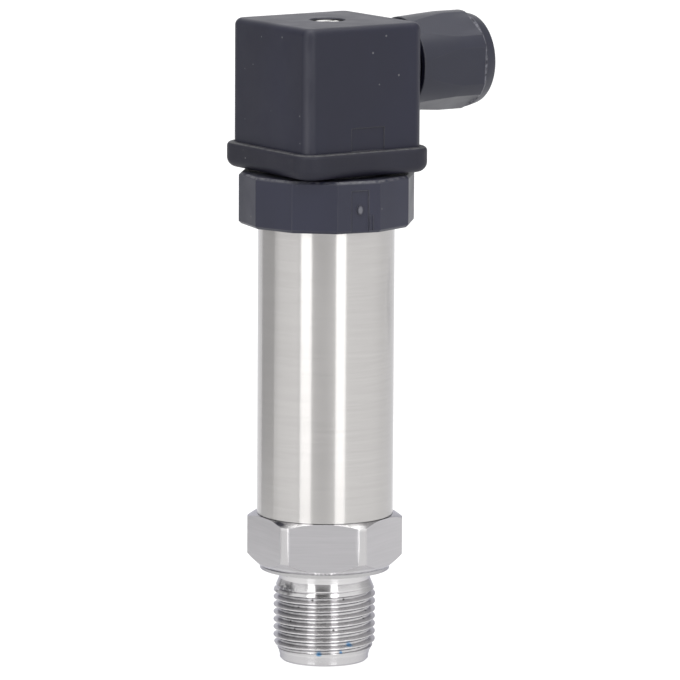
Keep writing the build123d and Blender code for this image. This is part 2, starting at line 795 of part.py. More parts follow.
# Socket contacts: a fork that takes the blade, with its clamp block and screw hole beside it
for name, angle in socket_names.items():
    fork_place = PolarLocations(contact_r, 1, start_angle=angle)
    with BuildPart() as socket:
        with BuildSketch(Plane.XY.offset(socket_z)):
            with fork_place:
                Rectangle(socket_t, socket_w)
        extrude(amount=socket_h)
        with BuildSketch(Plane.XY.offset(socket_z)):
            with fork_place:
                Rectangle(slot_t, slot_w)
        extrude(amount=slot_h, mode=Mode.SUBTRACT)
        with BuildSketch(Plane.XY.offset(insert_top_z)):
            with PolarLocations(clamp_r + fit_gap, 1, start_angle=angle):
                Rectangle(clamp_l, clamp_w)
        extrude(amount=-(clamp_h - fit_gap))
        with BuildSketch(Plane.XY.offset(insert_top_z)):
            with PolarLocations(clamp_r, 1, start_angle=angle):
                Circle(terminal_shank_d / 2 + fit_gap)
        extrude(amount=-(clamp_h - clamp_floor), mode=Mode.SUBTRACT)
    finish(socket.part, name)

# Terminal screws, slotted, one over each clamp block
with BuildPart() as terminal_screws:
    with BuildSketch(Plane.XY.offset(insert_top_z + seat_gap)):
        with PolarLocations(clamp_r, contact_count):
            Circle(terminal_d / 2)
    extrude(amount=terminal_head_h)
    with BuildSketch(Plane.XY.offset(insert_top_z + seat_gap + terminal_head_h)):
        with PolarLocations(clamp_r, contact_count):
            Rectangle(terminal_slot_w, terminal_d + beyond, rotation=terminal_turn)
    extrude(amount=-terminal_slot_h, mode=Mode.SUBTRACT)
    with BuildSketch(Plane.XY.offset(insert_top_z + seat_gap)):
        with PolarLocations(clamp_r, contact_count):
            Circle(terminal_shank_d / 2)
    extrude(amount=-terminal_shank_h)
finish(terminal_screws.part, "terminal_screws")

# Centre screw and its sealing washer, in the recess on top of the plug
washer_z = plug_top_z - head_hole_h
head_z = washer_z + washer_h
screw_tip_z = gasket_z + boss_h - screw_reach
with BuildPart() as screw_washer:
    with BuildSketch(Plane.XY.offset(washer_z)):
        Circle(washer_d / 2)
        Circle(screw_d / 2 + screw_play, mode=Mode.SUBTRACT)
    extrude(amount=washer_h)
    fillet(screw_washer.edges().filter_by(GeomType.CIRCLE).sort_by(SortBy.RADIUS)[-2:], radius=washer_edge)
finish(screw_washer.part, "screw_washer")

with BuildPart() as centre_screw:
    with BuildSketch(Plane.XY.offset(head_z)):
        Circle(screw_head_d / 2)
    extrude(amount=screw_head_h)
    fillet(centre_screw.faces().sort_by(Axis.Z)[-1].edges(), radius=screw_dome)
    with BuildSketch(Plane.XY.offset(head_z + screw_head_h)):
        Rectangle(screw_head_d + beyond, screw_slot_w, rotation=screw_slot_turn)
    extrude(amount=-screw_slot_h, mode=Mode.SUBTRACT)
    with BuildSketch(Plane.XY.offset(screw_tip_z)):
        Circle(screw_d / 2)
    extrude(amount=head_z - screw_tip_z)
    chamfer(centre_screw.faces().sort_by(Axis.Z)[0].edges(), length=screw_tip_edge)
finish(centre_screw.part, "centre_screw")

# Cable seal, thrust washer and compression nut, all about the gland's axis
seal_x = neck_end_x - neck_mouth_l
with BuildPart() as cable_seal:
    with BuildSketch(Plane.XZ):
        with BuildLine():
            Polyline(
                (seal_x, gland_z + seal_bore / 2 + seal_edge_r),
                (seal_x + seal_edge_l, gland_z + seal_bore / 2),
                (seal_x + seal_l - seal_edge_l, gland_z + seal_bore / 2),
                (seal_x + seal_l, gland_z + seal_bore / 2 + seal_edge_r),
                (seal_x + seal_l, gland_z + neck_mouth_d / 2 - fit_gap),
                (seal_x, gland_z + neck_mouth_d / 2 - fit_gap),
                close=True,
            )
        make_face()
    revolve(axis=gland_axis)
finish(cable_seal.part, "cable_seal")

thrust_x = seal_x + seal_l + seat_gap
with BuildPart() as thrust_washer:
    with BuildSketch(Plane.YZ.offset(thrust_x)):
        with Locations((0, gland_z)):
            Circle(thrust_od / 2)
            Circle(thrust_bore / 2, mode=Mode.SUBTRACT)
    extrude(amount=thrust_h)
finish(thrust_washer.part, "thrust_washer")

# The nut starts round at the housing, its flats run out of a shallow cone, and its end is chamfered
nut_corner_r = nut_flats / 2 / cos(radians(30))
nut_room_r = neck_d / 2 + fit_gap
nut_web_x = thrust_x + thrust_h + seat_gap
with BuildPart() as gland_nut:
    with BuildSketch(Plane.XZ):
        with BuildLine():
            Polyline(
                (nut_x, gland_z),
                (nut_x, gland_z + nut_inner_d / 2 - nut_edge),
                (nut_x + nut_edge, gland_z + nut_inner_d / 2),
                (nut_x + nut_cone_l, gland_z + nut_corner_r),
                (nut_end_x - nut_end_l, gland_z + nut_corner_r),
                (nut_end_x, gland_z + nut_rim_d / 2),
                (nut_end_x, gland_z),
                close=True,
            )
        make_face()
    revolve(axis=gland_axis)
    with BuildSketch(Plane.YZ.offset(nut_x - beyond)):
        with Locations((0, gland_z)):
            Circle(nut_flats)
            RegularPolygon(nut_flats / 2, 6, major_radius=False, rotation=90 + nut_turn, mode=Mode.SUBTRACT)
    extrude(amount=nut_l + 2 * beyond, mode=Mode.SUBTRACT)
    with BuildSketch(Plane.XZ):
        with BuildLine():
            Polyline(
                (nut_x, gland_z),
                (nut_x, gland_z + nut_inner_d / 2 - nut_edge),
                (nut_x + nut_edge, gland_z + nut_inner_d / 2),
                (nut_x + nut_cone_l, gland_z + nut_flats / 2 - nut_fade),
                (nut_x + nut_cone_l, gland_z),
                close=True,
            )
        make_face()
    revolve(axis=gland_axis)
    with BuildSketch(Plane.XZ):
        with BuildLine():
            Polyline(
                (nut_x - beyond, gland_z),
                (nut_x - beyond, gland_z + nut_room_r + nut_edge + beyond),
                (nut_x + nut_edge, gland_z + nut_room_r),
                (nut_web_x, gland_z + nut_room_r),
                (nut_web_x, gland_z + nut_bore / 2),
                (nut_end_x - nut_mouth_edge, gland_z + nut_bore / 2),
                (nut_end_x, gland_z + nut_bore / 2 + nut_mouth_edge),
                (nut_end_x + beyond, gland_z + nut_bore / 2 + nut_mouth_edge),
                (nut_end_x + beyond, gland_z),
                close=True,
            )
        make_face()
    revolve(axis=gland_axis, mode=Mode.SUBTRACT)
finish(gland_nut.part, "gland_nut")
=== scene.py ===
# %% [markdown]
# # A pressure transmitter: turned steel below, moulded black plastic above
#
# The solids of this transmitter come ready from its CAD model, as a frame of fixed pieces. This lesson
# dresses them: it sets the camera and the light, cuts the real threads, and gives every piece the finish of
# its own material. Nothing here moves or resizes a piece, so all of it still fits and still moves.

import json
import math

import bmesh
import bpy
from mathutils import Matrix, Vector

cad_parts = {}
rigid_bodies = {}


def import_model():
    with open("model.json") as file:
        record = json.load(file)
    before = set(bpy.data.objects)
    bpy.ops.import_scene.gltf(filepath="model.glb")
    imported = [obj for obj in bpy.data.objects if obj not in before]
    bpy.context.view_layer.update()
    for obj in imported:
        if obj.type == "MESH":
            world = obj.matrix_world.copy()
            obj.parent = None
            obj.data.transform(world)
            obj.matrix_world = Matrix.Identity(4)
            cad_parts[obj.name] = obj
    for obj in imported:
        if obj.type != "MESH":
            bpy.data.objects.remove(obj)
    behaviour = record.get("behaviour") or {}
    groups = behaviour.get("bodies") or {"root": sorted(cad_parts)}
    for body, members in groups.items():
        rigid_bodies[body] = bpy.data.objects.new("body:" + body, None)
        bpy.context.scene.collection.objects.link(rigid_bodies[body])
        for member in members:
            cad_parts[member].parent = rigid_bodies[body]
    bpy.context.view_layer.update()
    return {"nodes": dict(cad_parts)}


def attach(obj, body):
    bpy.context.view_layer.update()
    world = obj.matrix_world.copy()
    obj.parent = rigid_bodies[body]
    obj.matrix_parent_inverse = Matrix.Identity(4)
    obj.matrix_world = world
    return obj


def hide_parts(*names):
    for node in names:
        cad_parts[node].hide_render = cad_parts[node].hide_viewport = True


for leftover in list(bpy.data.objects):
    bpy.data.objects.remove(leftover)
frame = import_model()
nodes = frame["nodes"]
MM = 0.001  # the frame is in metres, and the sizes below are written in millimetres


def linked(name, data):
    """New object in the scene."""
    piece = bpy.data.objects.new(name, data)
    bpy.context.scene.collection.objects.link(piece)
    return piece


# %% [markdown]
# ## The camera
#
# A product photograph of a slim object is taken from far away with a long lens, so that upright edges stay
# nearly parallel. The camera stands about 1.2 m off, a little above the top of the plug, and sees the plug
# by its corner. It could be turned by a Track To constraint, but a matrix built from three axes is plainer:
# its columns are the camera's right, its up and the way back.

# %% Camera
CAMERA_AZIMUTH = -33.765  # degrees from -Y, positive towards +X
CAMERA_DISTANCE = 1151.942  # from the transmitter's axis
CAMERA_HEIGHT = 248.594
CAMERA_ROLL = 0.343
LENS = 318.5
SENSOR = 36.0
FARTHEST_SEEN = 20.0  # metres
AIM_HEIGHT = 65.0  # the point of the axis that the picture is measured from
AIM_RIGHT = 2.75  # how far to the right of that point the picture's middle lies
AIM_DOWN = 2.04


def polar(azimuth, distance, height):
    """Point in metres at an azimuth round the transmitter's axis."""
    angle = math.radians(azimuth)
    return Vector((math.sin(angle) * distance, -math.cos(angle) * distance, height)) * MM


def facing(eye, target, roll=0.0):
    """Matrix of a camera or lamp at eye that looks at target."""
    back = (eye - target).normalized()
    right = Vector((0, 0, 1)).cross(back).normalized()
    up = back.cross(right)
    turn = Matrix.Rotation(math.radians(roll), 3, back)
    columns = [turn @ right, turn @ up, back]
    matrix = Matrix(columns).transposed().to_4x4()
    matrix.translation = eye
    return matrix


eye = polar(CAMERA_AZIMUTH, CAMERA_DISTANCE, CAMERA_HEIGHT)
aim = Vector((0, 0, AIM_HEIGHT * MM))
view = facing(eye, aim, CAMERA_ROLL)
aim += (view.col[0].xyz * AIM_RIGHT - view.col[1].xyz * AIM_DOWN) * MM
camera = linked("camera", bpy.data.cameras.new("camera"))
camera.data.lens = LENS
camera.data.sensor_width = SENSOR
camera.data.clip_end = FARTHEST_SEEN
camera.matrix_world = facing(eye, aim, CAMERA_ROLL)
bpy.context.scene.camera = camera
print("camera at", [round(value, 3) for value in camera.location], "lens", LENS)

# %% [markdown]
# ## Nets of nodes in short lines
#
# The sky, the materials and the shapes made by Geometry Nodes are all nets of small nodes. Wiring each node
# by hand takes many lines, so three helpers do it: one adds a node and plugs it in, one does a sum, and one
# maps a range of values to another.

# %% Node helpers


def add(tree, kind, plugs=None, **properties):
    """Adds a node. A plug is an output of another node or a plain value."""
    node = tree.nodes.new(kind)
    for name, value in properties.items():
        setattr(node, name, value)
    for socket, value in (plugs or {}).items():
        if isinstance(value, bpy.types.NodeSocket):
            tree.links.new(value, node.inputs[socket])
        else:
            node.inputs[socket].default_value = value
    return node


def calculate(tree, operation, first, second=0.0, third=0.0):
    """One Math node; returns its output."""
    return add(tree, "ShaderNodeMath", {0: first, 1: second, 2: third}, operation=operation).outputs[0]


def spread(tree, value, low, high, to_low=0.0, to_high=1.0):
    """Maps a value from one range to another and clamps it."""
    plugs = {"Value": value, "From Min": low, "From Max": high, "To Min": to_low, "To Max": to_high}
    return add(tree, "ShaderNodeMapRange", plugs).outputs[0]


print("helpers ready for nodes")

# %% [markdown]
# ## The studio
#
# Steel has no colour of its own to speak of: it shows the room. A turned tube shows each upright softbox as
# an upright white band, so two tall softboxes stand left and right of the camera, one for each band. A large
# panel hangs overhead. The sky round the set is a ramp of greys over the compass: lighter where a reflector
# stands, and dark behind the left shoulder, which models the tube's left edge. The standard view transform
# keeps whites white.

# %% Light
STRIP_RADIANCE = 3.4
STRIP_DISTANCE = 1100.0
STRIP_HEIGHT = 3400.0
STRIPS = {"strip_left": (-67.0, 360.0), "strip_right": (-8.6, 322.0)}  # azimuth and width of each
PANEL_RADIANCE = 2.0
PANEL_SIZE = (2600.0, 2600.0)
PANEL_HEIGHT = 2100.0
SKY_PEAK = 1.25
SKY = (
    (-180, 0.70), (-168, 0.15), (-128, 0.12), (-118, 1.05), (-85, 1.20), (-76, 0.60), (-57, 0.30),
    (-50, 0.05), (-34, 0.05), (-24, 0.25), (-18, 0.60), (2, 1.15), (50, 1.15), (62, 1.00), (75, 0.65),
    (100, 0.55), (120, 0.60), (140, 1.10), (168, 1.10), (180, 0.70),
)  # brightness of the sky by azimuth


def softbox(name, eye, target, size, radiance):
    """Area light of a given size in millimetres, as bright as its radiance says."""
    light = bpy.data.lights.new(name, "AREA")
    light.shape = "RECTANGLE"
    light.size = size[0] * MM
    light.size_y = size[1] * MM
    light.energy = radiance * math.pi * light.size * light.size_y
    lamp = linked(name, light)
    lamp.matrix_world = facing(eye, target)
    lamp.visible_camera = False
    print(name, "gives", round(light.energy, 1), "W")


for name, (azimuth, width) in STRIPS.items():
    middle = polar(azimuth, STRIP_DISTANCE, STRIP_HEIGHT / 2)
    softbox(name, middle, Vector((0, 0, middle.z)), (width, STRIP_HEIGHT), STRIP_RADIANCE)
above = Vector((0, -1, PANEL_HEIGHT)) * MM  # a hair off the axis, so that the panel has a way up
softbox("panel", above, Vector((0, 0, 0)), PANEL_SIZE, PANEL_RADIANCE)

world = bpy.data.worlds.new("studio")
world.use_nodes = True
sky = world.node_tree
compass = add(sky, "ShaderNodeSeparateXYZ", {0: add(sky, "ShaderNodeTexCoord").outputs["Generated"]})
southward = calculate(sky, "MULTIPLY", compass.outputs["Y"], -1.0)
bearing = calculate(sky, "ARCTAN2", compass.outputs["X"], southward)
greys = add(sky, "ShaderNodeValToRGB", {0: spread(sky, bearing, -math.pi, math.pi)})
while len(greys.color_ramp.elements) < len(SKY):
    greys.color_ramp.elements.new(1.0)
for stop, (azimuth, brightness) in zip(greys.color_ramp.elements, SKY):
    stop.position = (azimuth + 180) / 360
    stop.color = (*[brightness / SKY_PEAK] * 3, 1)
sky.links.new(greys.outputs["Color"], sky.nodes["Background"].inputs["Color"])
sky.nodes["Background"].inputs["Strength"].default_value = SKY_PEAK
bpy.context.scene.world = world
bpy.context.scene.view_settings.view_transform = "Standard"
print("sky has", len(SKY), "stops")

# %% [markdown]
# ## Writing materials in short lines
#
# A procedural material starts from plain values on the shader. Then colours are laid over each other, each
# by a share, which is 1 where it covers what lies below and 0 where it doesn't.

# %% Material helpers


def start_material(name, colour, roughness, metallic=0.0, **settings):
    """New material; returns it, its tree and its principled shader, with plain values on the sockets."""
    material = bpy.data.materials.new(name)
    material.use_nodes = True
    tree = material.node_tree
    shader = tree.nodes["Principled BSDF"]
    shader.inputs["Base Color"].default_value = (*colour, 1)
    shader.inputs["Roughness"].default_value = roughness
    shader.inputs["Metallic"].default_value = metallic
    for socket, value in settings.items():
        shader.inputs[socket.replace("_", " ")].default_value = value
    return material, tree, shader


def mix_colours(tree, share, first, second):
    """Blends two colours; returns the output."""
    node = add(tree, "ShaderNodeMix", {0: share}, data_type="RGBA")
    for index, value in ((6, first), (7, second)):
        if isinstance(value, bpy.types.NodeSocket):
            tree.links.new(value, node.inputs[index])
        else:
            node.inputs[index].default_value = (*value, 1)
    return node.outputs[2]


def lay_over(tree, tone, layers):
    """Lays colours over a tone, one after the other, each by its share."""
    for share, colour in layers:
        tone = mix_colours(tree, share, tone, colour)
    return tone


print("helpers ready for materials")

# %% [markdown]
# ## Patterns
#
# The shares come from patterns: a noise, a soft spot, a stretch of an axis or a scatter of specks. Where
# several have to hold at once they are multiplied. Every pattern reads Object coordinates. They are in metres
# here, so a noise of scale 4000 has cells of a quarter of a millimetre. Two more helpers change the normal:
# one softens the edges, and one turns a pattern into relief.

# %% Pattern helpers
BEVEL_SAMPLES = 6


def object_place(tree):
    """Object coordinates."""
    return add(tree, "ShaderNodeTexCoord").outputs["Object"]


def noise(tree, scale, detail=2.0, stretch=(1, 1, 1), shift=(0, 0, 0)):
    """Noise on Object coordinates; stretch squeezes it along an axis."""
    plugs = {"Vector": object_place(tree), "Scale": stretch, "Location": shift}
    place = add(tree, "ShaderNodeMapping", plugs).outputs[0]
    return add(tree, "ShaderNodeTexNoise", {"Vector": place, "Scale": scale, "Detail": detail}).outputs[0]


def product(tree, first, *others):
    """Multiplies shares."""
    for other in others:
        first = calculate(tree, "MULTIPLY", first, other)
    return first


def rounded(tree, radius):
    """Normal that softens every sharp edge by a small radius, in millimetres."""
    return add(tree, "ShaderNodeBevel", {"Radius": radius * MM}, samples=BEVEL_SAMPLES).outputs[0]


def bump(tree, height, depth, normal):
    """Normal with a relief of the given depth in millimetres."""
    plugs = {"Height": height, "Distance": depth * MM, "Normal": normal}
    return add(tree, "ShaderNodeBump", plugs).outputs[0]


def coordinate(tree, axis):
    """One Object coordinate in millimetres."""
    split = add(tree, "ShaderNodeSeparateXYZ", {0: object_place(tree)})
    return calculate(tree, "DIVIDE", split.outputs[axis], MM)


def within(tree, axis, stops):
    """Share that rises between the first two of four places on an axis and falls between the last two."""
    starts, full, still_full, ends = stops
    place = coordinate(tree, axis)
    return product(tree, spread(tree, place, starts, full), spread(tree, place, ends, still_full))


def specks(tree, cell, size, rarity):
    """Sparse spots: 1 on a spot, 0 elsewhere. Cell and greatest radius in millimetres."""
    plugs = {"Vector": object_place(tree), "Scale": 1 / (cell * MM)}
    cells = add(tree, "ShaderNodeTexVoronoi", plugs)
    lots = add(tree, "ShaderNodeSeparateColor", {0: cells.outputs["Color"]}).outputs
    radius = calculate(tree, "MULTIPLY", lots[1], size / cell)
    near = calculate(tree, "LESS_THAN", cells.outputs["Distance"], radius)
    chosen = calculate(tree, "GREATER_THAN", lots[0], 1 - rarity)
    return product(tree, near, chosen)


def blot(tree, centre, radii, softness, strength=1.0):
    """Soft-edged spot at a point, in millimetres: as strong as asked inside, 0 outside."""
    plugs = {"Vector": object_place(tree), "Location": [value * MM for value in centre],
             "Scale": [value * MM for value in radii]}
    ball = add(tree, "ShaderNodeMapping", plugs, vector_type="TEXTURE")
    reach = add(tree, "ShaderNodeVectorMath", {0: ball.outputs[0]}, operation="LENGTH").outputs["Value"]
    return spread(tree, reach, 1.0, 1.0 - softness, 0.0, strength)


print("helpers ready for patterns")

# %% [markdown]
# ## The floor
#
# A plain dull sheet, wide enough that its edge never shows. It is stage, not object.
# A light of its own makes it white under the transmitter, as on a lit table.

# %% Floor
FLOOR_HALF = 6000.0
FLOOR_GLOW = 0.92


def sheet(name, corners, material):
    """Flat sheet with four corners, in metres."""
    mesh = bpy.data.meshes.new(name)
    mesh.from_pydata(corners, [], [(0, 1, 2, 3)])
    mesh.materials.append(material)
    return linked(name, mesh)


floor_sheet, *_ = start_material("floor_sheet", (0.12, 0.12, 0.12), 0.7, Emission_Color=(1, 1, 1, 1),
                                 Emission_Strength=FLOOR_GLOW)
reach = FLOOR_HALF * MM
floor = sheet("floor", [(-reach, -reach, 0), (reach, -reach, 0), (reach, reach, 0), (-reach, reach, 0)],
              floor_sheet)
print("floor is", 2 * FLOOR_HALF * MM, "m wide")

# %% [markdown]
# ## The flag
#
# A white floor shines into the steel from every side and flattens it. Photographers stand a dark card, a
# flag, just outside the picture to get a darker edge back. Ours is mid grey and stands behind the left
# shoulder. The camera doesn't see it: only the steel and the plastic do.

# %% Flag
FLAG_AZIMUTH = -147.0
FLAG_DISTANCE = 150.0
FLAG_FOOT = 1.0
FLAG_WIDTH = 105.0
FLAG_HEIGHT = 320.0
foot = polar(FLAG_AZIMUTH, FLAG_DISTANCE, FLAG_FOOT)
across = Vector((0, 0, 1)).cross(foot).normalized() * FLAG_WIDTH / 2 * MM
rise = Vector((0, 0, FLAG_HEIGHT * MM))
flag_card, *_ = start_material("flag_card", (0.50, 0.50, 0.50), 0.9)
flag = sheet("flag", [foot - across, foot + across, foot + across + rise, foot - across + rise], flag_card)
flag.visible_camera = False
print("flag stands", FLAG_DISTANCE, "mm from the axis")

# %% [markdown]
# ## Turned steel
#
# The tube, the fitting and the screws are stainless steel, cut on a lathe. The tool leaves very fine rings,
# which smear every reflection up and down the axis. Two things give that look: an anisotropic shader whose
# tangent runs round the axis, and a bump made of noise that is squeezed hard along the axis, so that its
# cells become rings. A second, wider noise makes some rings a shade darker, as the eye sees them.

# %% Steel finish
FINE_ACROSS = 140  # cells of the noise per metre, across the axis
BROAD_ACROSS = 60
BROAD_PITCHES = 5  # a broad ring is as high as so many fine ones
BROAD_SHIFT = (0.3, 0.7, 0.1)  # so that the two noises don't lie on each other


def turned_steel(name, colour, roughness, pitch=0.14, depth=0.0008, streaks=0.05, anisotropy=0.75, edge=0.12):
    """Steel with lathe rings about Z. Returns the material, its tree, shader and colour."""
    material, tree, shader = start_material(name, colour, roughness, 1.0, Anisotropic=anisotropy,
                                            Anisotropic_Rotation=0.25)
    tangent = add(tree, "ShaderNodeTangent", direction_type="RADIAL", axis="Z")
    tree.links.new(tangent.outputs[0], shader.inputs["Tangent"])
    fine = noise(tree, 1.0, 3.0, (FINE_ACROSS, FINE_ACROSS, 1 / (pitch * MM)))
    stretch = (BROAD_ACROSS, BROAD_ACROSS, 1 / (pitch * BROAD_PITCHES * MM))
    broad = noise(tree, 1.0, 2.0, stretch, BROAD_SHIFT)
    dark = tuple(value * (1 - streaks) for value in colour)
    tone = mix_colours(tree, spread(tree, calculate(tree, "ADD", fine, broad), 0.75, 1.25), dark, colour)
    cloud = noise(tree, 90, 2.0, (1, 1, 0.5))
    gloss = spread(tree, cloud, 0.3, 0.7, roughness * 0.92, roughness * 1.10)
    tree.links.new(gloss, shader.inputs["Roughness"])
    tree.links.new(bump(tree, fine, depth, rounded(tree, edge)), shader.inputs["Normal"])
    tree.links.new(tone, shader.inputs["Base Color"])
    return material, tree, shader, tone


print("helper ready for turned steel")

# %% [markdown]
# ## The tube
#
# The tube is the smoothest of the turned pieces. It is slightly warm, has a faint soft darker streak, and a
# thin painted shadow line at its foot, where the joint with the hexagon holds no light. A bare metal shader
# turns white at a glancing angle, and worked steel doesn't quite, so its specular tint is lowered.

# %% Tube finish
TUBE_FOOT = 29.0
# height of the painted shadow line at the tube's foot
JOINT_LINE = 0.14
STREAK = ((7.3, -11.0, 71.0), (1.6, 1.6, 10.5))  # middle and radii
tube_finish, tree, shader, tone = turned_steel("tube_turned", (0.50, 0.487, 0.478), 0.21, anisotropy=1.0)
shader.inputs["Specular Tint"].default_value = (0.82, 0.82, 0.84, 1)
streak_cloud = spread(tree, noise(tree, 220, 3.0, (1, 1, 0.35)), 0.35, 0.6)
# painted shadow: a thin dark line at the tube's foot, where it meets the hexagon
joint = spread(tree, coordinate(tree, "Z"), TUBE_FOOT + JOINT_LINE, TUBE_FOOT + JOINT_LINE * 0.6)
tone = lay_over(tree, tone, [
    (product(tree, blot(tree, *STREAK, 0.8, 0.35), streak_cloud), (0.25, 0.25, 0.26)),
    (joint, (0.06, 0.06, 0.065)),
])
tree.links.new(tone, shader.inputs["Base Color"])
print("tube finish:", len(tree.nodes), "nodes")

# %% [markdown]
# ## The fitting
#
# The fitting is turned from the bar, so its hexagon's flats keep the bar's drawn surface, its corners and
# chamfers are turned, and its thread has cutting oil and grime down in the grooves. The grime is placed by
# the distance from the axis: what lies deeper than the crests gets darker. The hexagon's upper chamfer gets
# a painted highlight at two corners and a painted dark reflection at a third, the collar's band is painted
# lighter as a reflection of the floor, and the corner above the collar gets painted shade. Some drops of
# blue marking ink have stayed on the lower turns. Each mark is a soft spot at its own place, because that
# is the least that says where it lies.

# %% Fitting finishes
THREAD_TOP = 16.3
THREAD_ROOT = 9.0
THREAD_CREST = 9.925
NOSE_FULL = 1.7  # height up to which the nose has its own tone
NOSE_ENDS = 1.9
CORNER_BAND = (19.5, 20.0, 27.6, 28.0)  # four heights each: the tone starts, is full, is still full and ends
# the collar's band is painted lighter here, a painted reflection of the bright floor
COLLAR_BAND = (18.1, 18.2, 19.4, 19.7)
GRIME_BAND = (NOSE_ENDS, 2.6, THREAD_TOP - 2.6, THREAD_TOP - 2.0)
GRIMY_SIDE = ((-9.5, -0.8, 8.5), (6.5, 6.5, 9.0))  # middle and radii of the side that was handled
SCUFF = ((-9.2, -0.6, 14.9), (1.8, 3.4, 1.4))
# painted dark reflection on one corner of the hexagon's upper chamfer: middle and radii
CHAMFER_DARK_REFLECTION = ((-13.5, -4.4, 28.7), (0.8, 2.1, 0.6))
COLLAR_SHADE = ((-12.6, -0.5, 18.9), (5.5, 6.0, 0.2))
# painted highlights on two corners of the hexagon's upper chamfer
CHAMFER_HIGHLIGHTS = ((-11.6, -8.1, 28.7), (-2.95, -13.9, 28.7))
HIGHLIGHT_RADII = (2.8, 2.8, 0.8)
SPECKS = ((-6.76, -6.0, 13.2), (-8.35, -3.5, 11.5), (-1.5, -8.95, 13.3), (4.2, -8.15, 10.4),
          (3.6, -8.36, 8.9), (-3.4, -8.34, 7.3), (-8.9, -1.56, 8.5), (-8.64, -2.57, 7.05))
SPECK_RADII = (0.3, 0.3, 0.3)
INK_DROPS = {(-0.3, -9.2, 4.2): 0.85, (-2.0, -8.9, 2.85): 0.45, (-5.9, -7.0, 2.6): 0.75}  # place and size
INK_HEIGHT = 0.8  # of the size
fitting_finish, tree, shader, tone = turned_steel("fitting_turned", (0.625, 0.615, 0.62), 0.21, 0.12,
                                                  anisotropy=1.0, edge=0.06)
shader.inputs["Specular Tint"].default_value = (0.55, 0.55, 0.60, 1)
flat_place = add(tree, "ShaderNodeVectorMath", {0: object_place(tree), 1: (1, 1, 0)}, operation="MULTIPLY")
from_axis = add(tree, "ShaderNodeVectorMath", {0: flat_place.outputs[0]}, operation="LENGTH")
depth = spread(tree, from_axis.outputs["Value"], THREAD_CREST * MM, THREAD_ROOT * MM)
grime_cloud = spread(tree, noise(tree, 700, 3.0), 0.3, 0.6, 0.55, 1.0)
thickness = spread(tree, blot(tree, *GRIMY_SIDE, 0.6), 0.0, 1.0, 0.15, 0.65)
scuff_cloud = spread(tree, noise(tree, 1800, 3.0), 0.36, 0.56)
layers = [
    (within(tree, "Z", CORNER_BAND), (0.50, 0.49, 0.495)),
    (spread(tree, coordinate(tree, "Z"), NOSE_ENDS, NOSE_FULL), (0.54, 0.53, 0.54)),
    # painted reflection: the collar's band is lighter, as the floor it faces would make it
    (within(tree, "Z", COLLAR_BAND), (0.76, 0.75, 0.755)),
    (blot(tree, *COLLAR_SHADE, 0.5), (0.16, 0.16, 0.17)),
    (product(tree, depth, within(tree, "Z", GRIME_BAND), grime_cloud, thickness), (0.10, 0.10, 0.11)),
]
# painted highlights on two corners of the upper chamfer
layers += [(blot(tree, corner, HIGHLIGHT_RADII, 0.5), (0.88, 0.87, 0.87)) for corner in CHAMFER_HIGHLIGHTS]
layers += [
    # painted dark reflection on a third corner of the upper chamfer
    (blot(tree, *CHAMFER_DARK_REFLECTION, 0.5), (0.13, 0.13, 0.15)),
    (product(tree, blot(tree, *SCUFF, 0.6, 0.8), scuff_cloud), (0.07, 0.07, 0.08)),
]
layers += [(blot(tree, speck, SPECK_RADII, 0.5, 0.85), (0.03, 0.03, 0.03)) for speck in SPECKS]
layers += [(blot(tree, drop, (size, size, INK_HEIGHT * size), 0.6, 0.85), (0.06, 0.26, 0.50))
           for drop, size in INK_DROPS.items()]
tree.links.new(lay_over(tree, tone, layers), shader.inputs["Base Color"])
hexagon_finish, *_ = turned_steel("hexagon_drawn", (0.475, 0.465, 0.48), 0.36, 0.2, 0.001, 0.07, 0.5)
print("fitting finishes:", fitting_finish.name, "with", len(layers), "layers, and", hexagon_finish.name)

# %% [markdown]
# ## The thread, by Geometry Nodes
#
# A screw thread is a surface that follows a rule: at each height and angle, the radius is known. So a flat
# grid is enough to make it. One way of the grid becomes the angle and the other the height, and a few Math
# nodes give the radius. The phase is the height in pitches less the turn, its distance from one half is the
# flank, and the crest and root are cut flat by clamping. At its end the tool is drawn out, so the groove gets
# shallow and narrow together. The same tree makes the steel process thread, the plastic thread of the
# gland's neck and the thread of the centre screw, by its named inputs.

# %% Thread tree
ROOT_SHARE = 0.25  # of the half pitch, for the flat root
CREST_SHARE = 0.125
MERGE_REACH = 1e-6  # metres
NUMBER = "NodeSocketFloat"
THREAD_INPUTS = {
    "Columns": "NodeSocketInt", "Rows": "NodeSocketInt", "Pitch": NUMBER, "Crest Radius": NUMBER,
    "Depth": NUMBER, "Start": NUMBER, "Length": NUMBER, "Start Radius": NUMBER, "Start Slope": NUMBER,
    "End Radius": NUMBER, "End Slope": NUMBER, "Run In": NUMBER, "Fade Start": NUMBER, "Fade End": NUMBER,
    "Phase": NUMBER, "Material": "NodeSocketMaterial",
}


def tree_with_inputs(name, inputs):
    """Empty geometry tree with named inputs; returns it and its inputs' sockets."""
    tree = bpy.data.node_groups.new(name, "GeometryNodeTree")
    for label, kind in inputs.items():
        tree.interface.new_socket(label, in_out="INPUT", socket_type=kind)
    tree.interface.new_socket("Geometry", in_out="OUTPUT", socket_type="NodeSocketGeometry")
    return tree, tree.nodes.new("NodeGroupInput").outputs


def end_tree(tree, geometry, material):
    """Realize Instances, Set Material, and the way out."""
    real = add(tree, "GeometryNodeRealizeInstances", {0: geometry})
    dressed = add(tree, "GeometryNodeSetMaterial", {"Geometry": real.outputs[0], "Material": material})
    add(tree, "NodeGroupOutput", {0: dressed.outputs[0]})


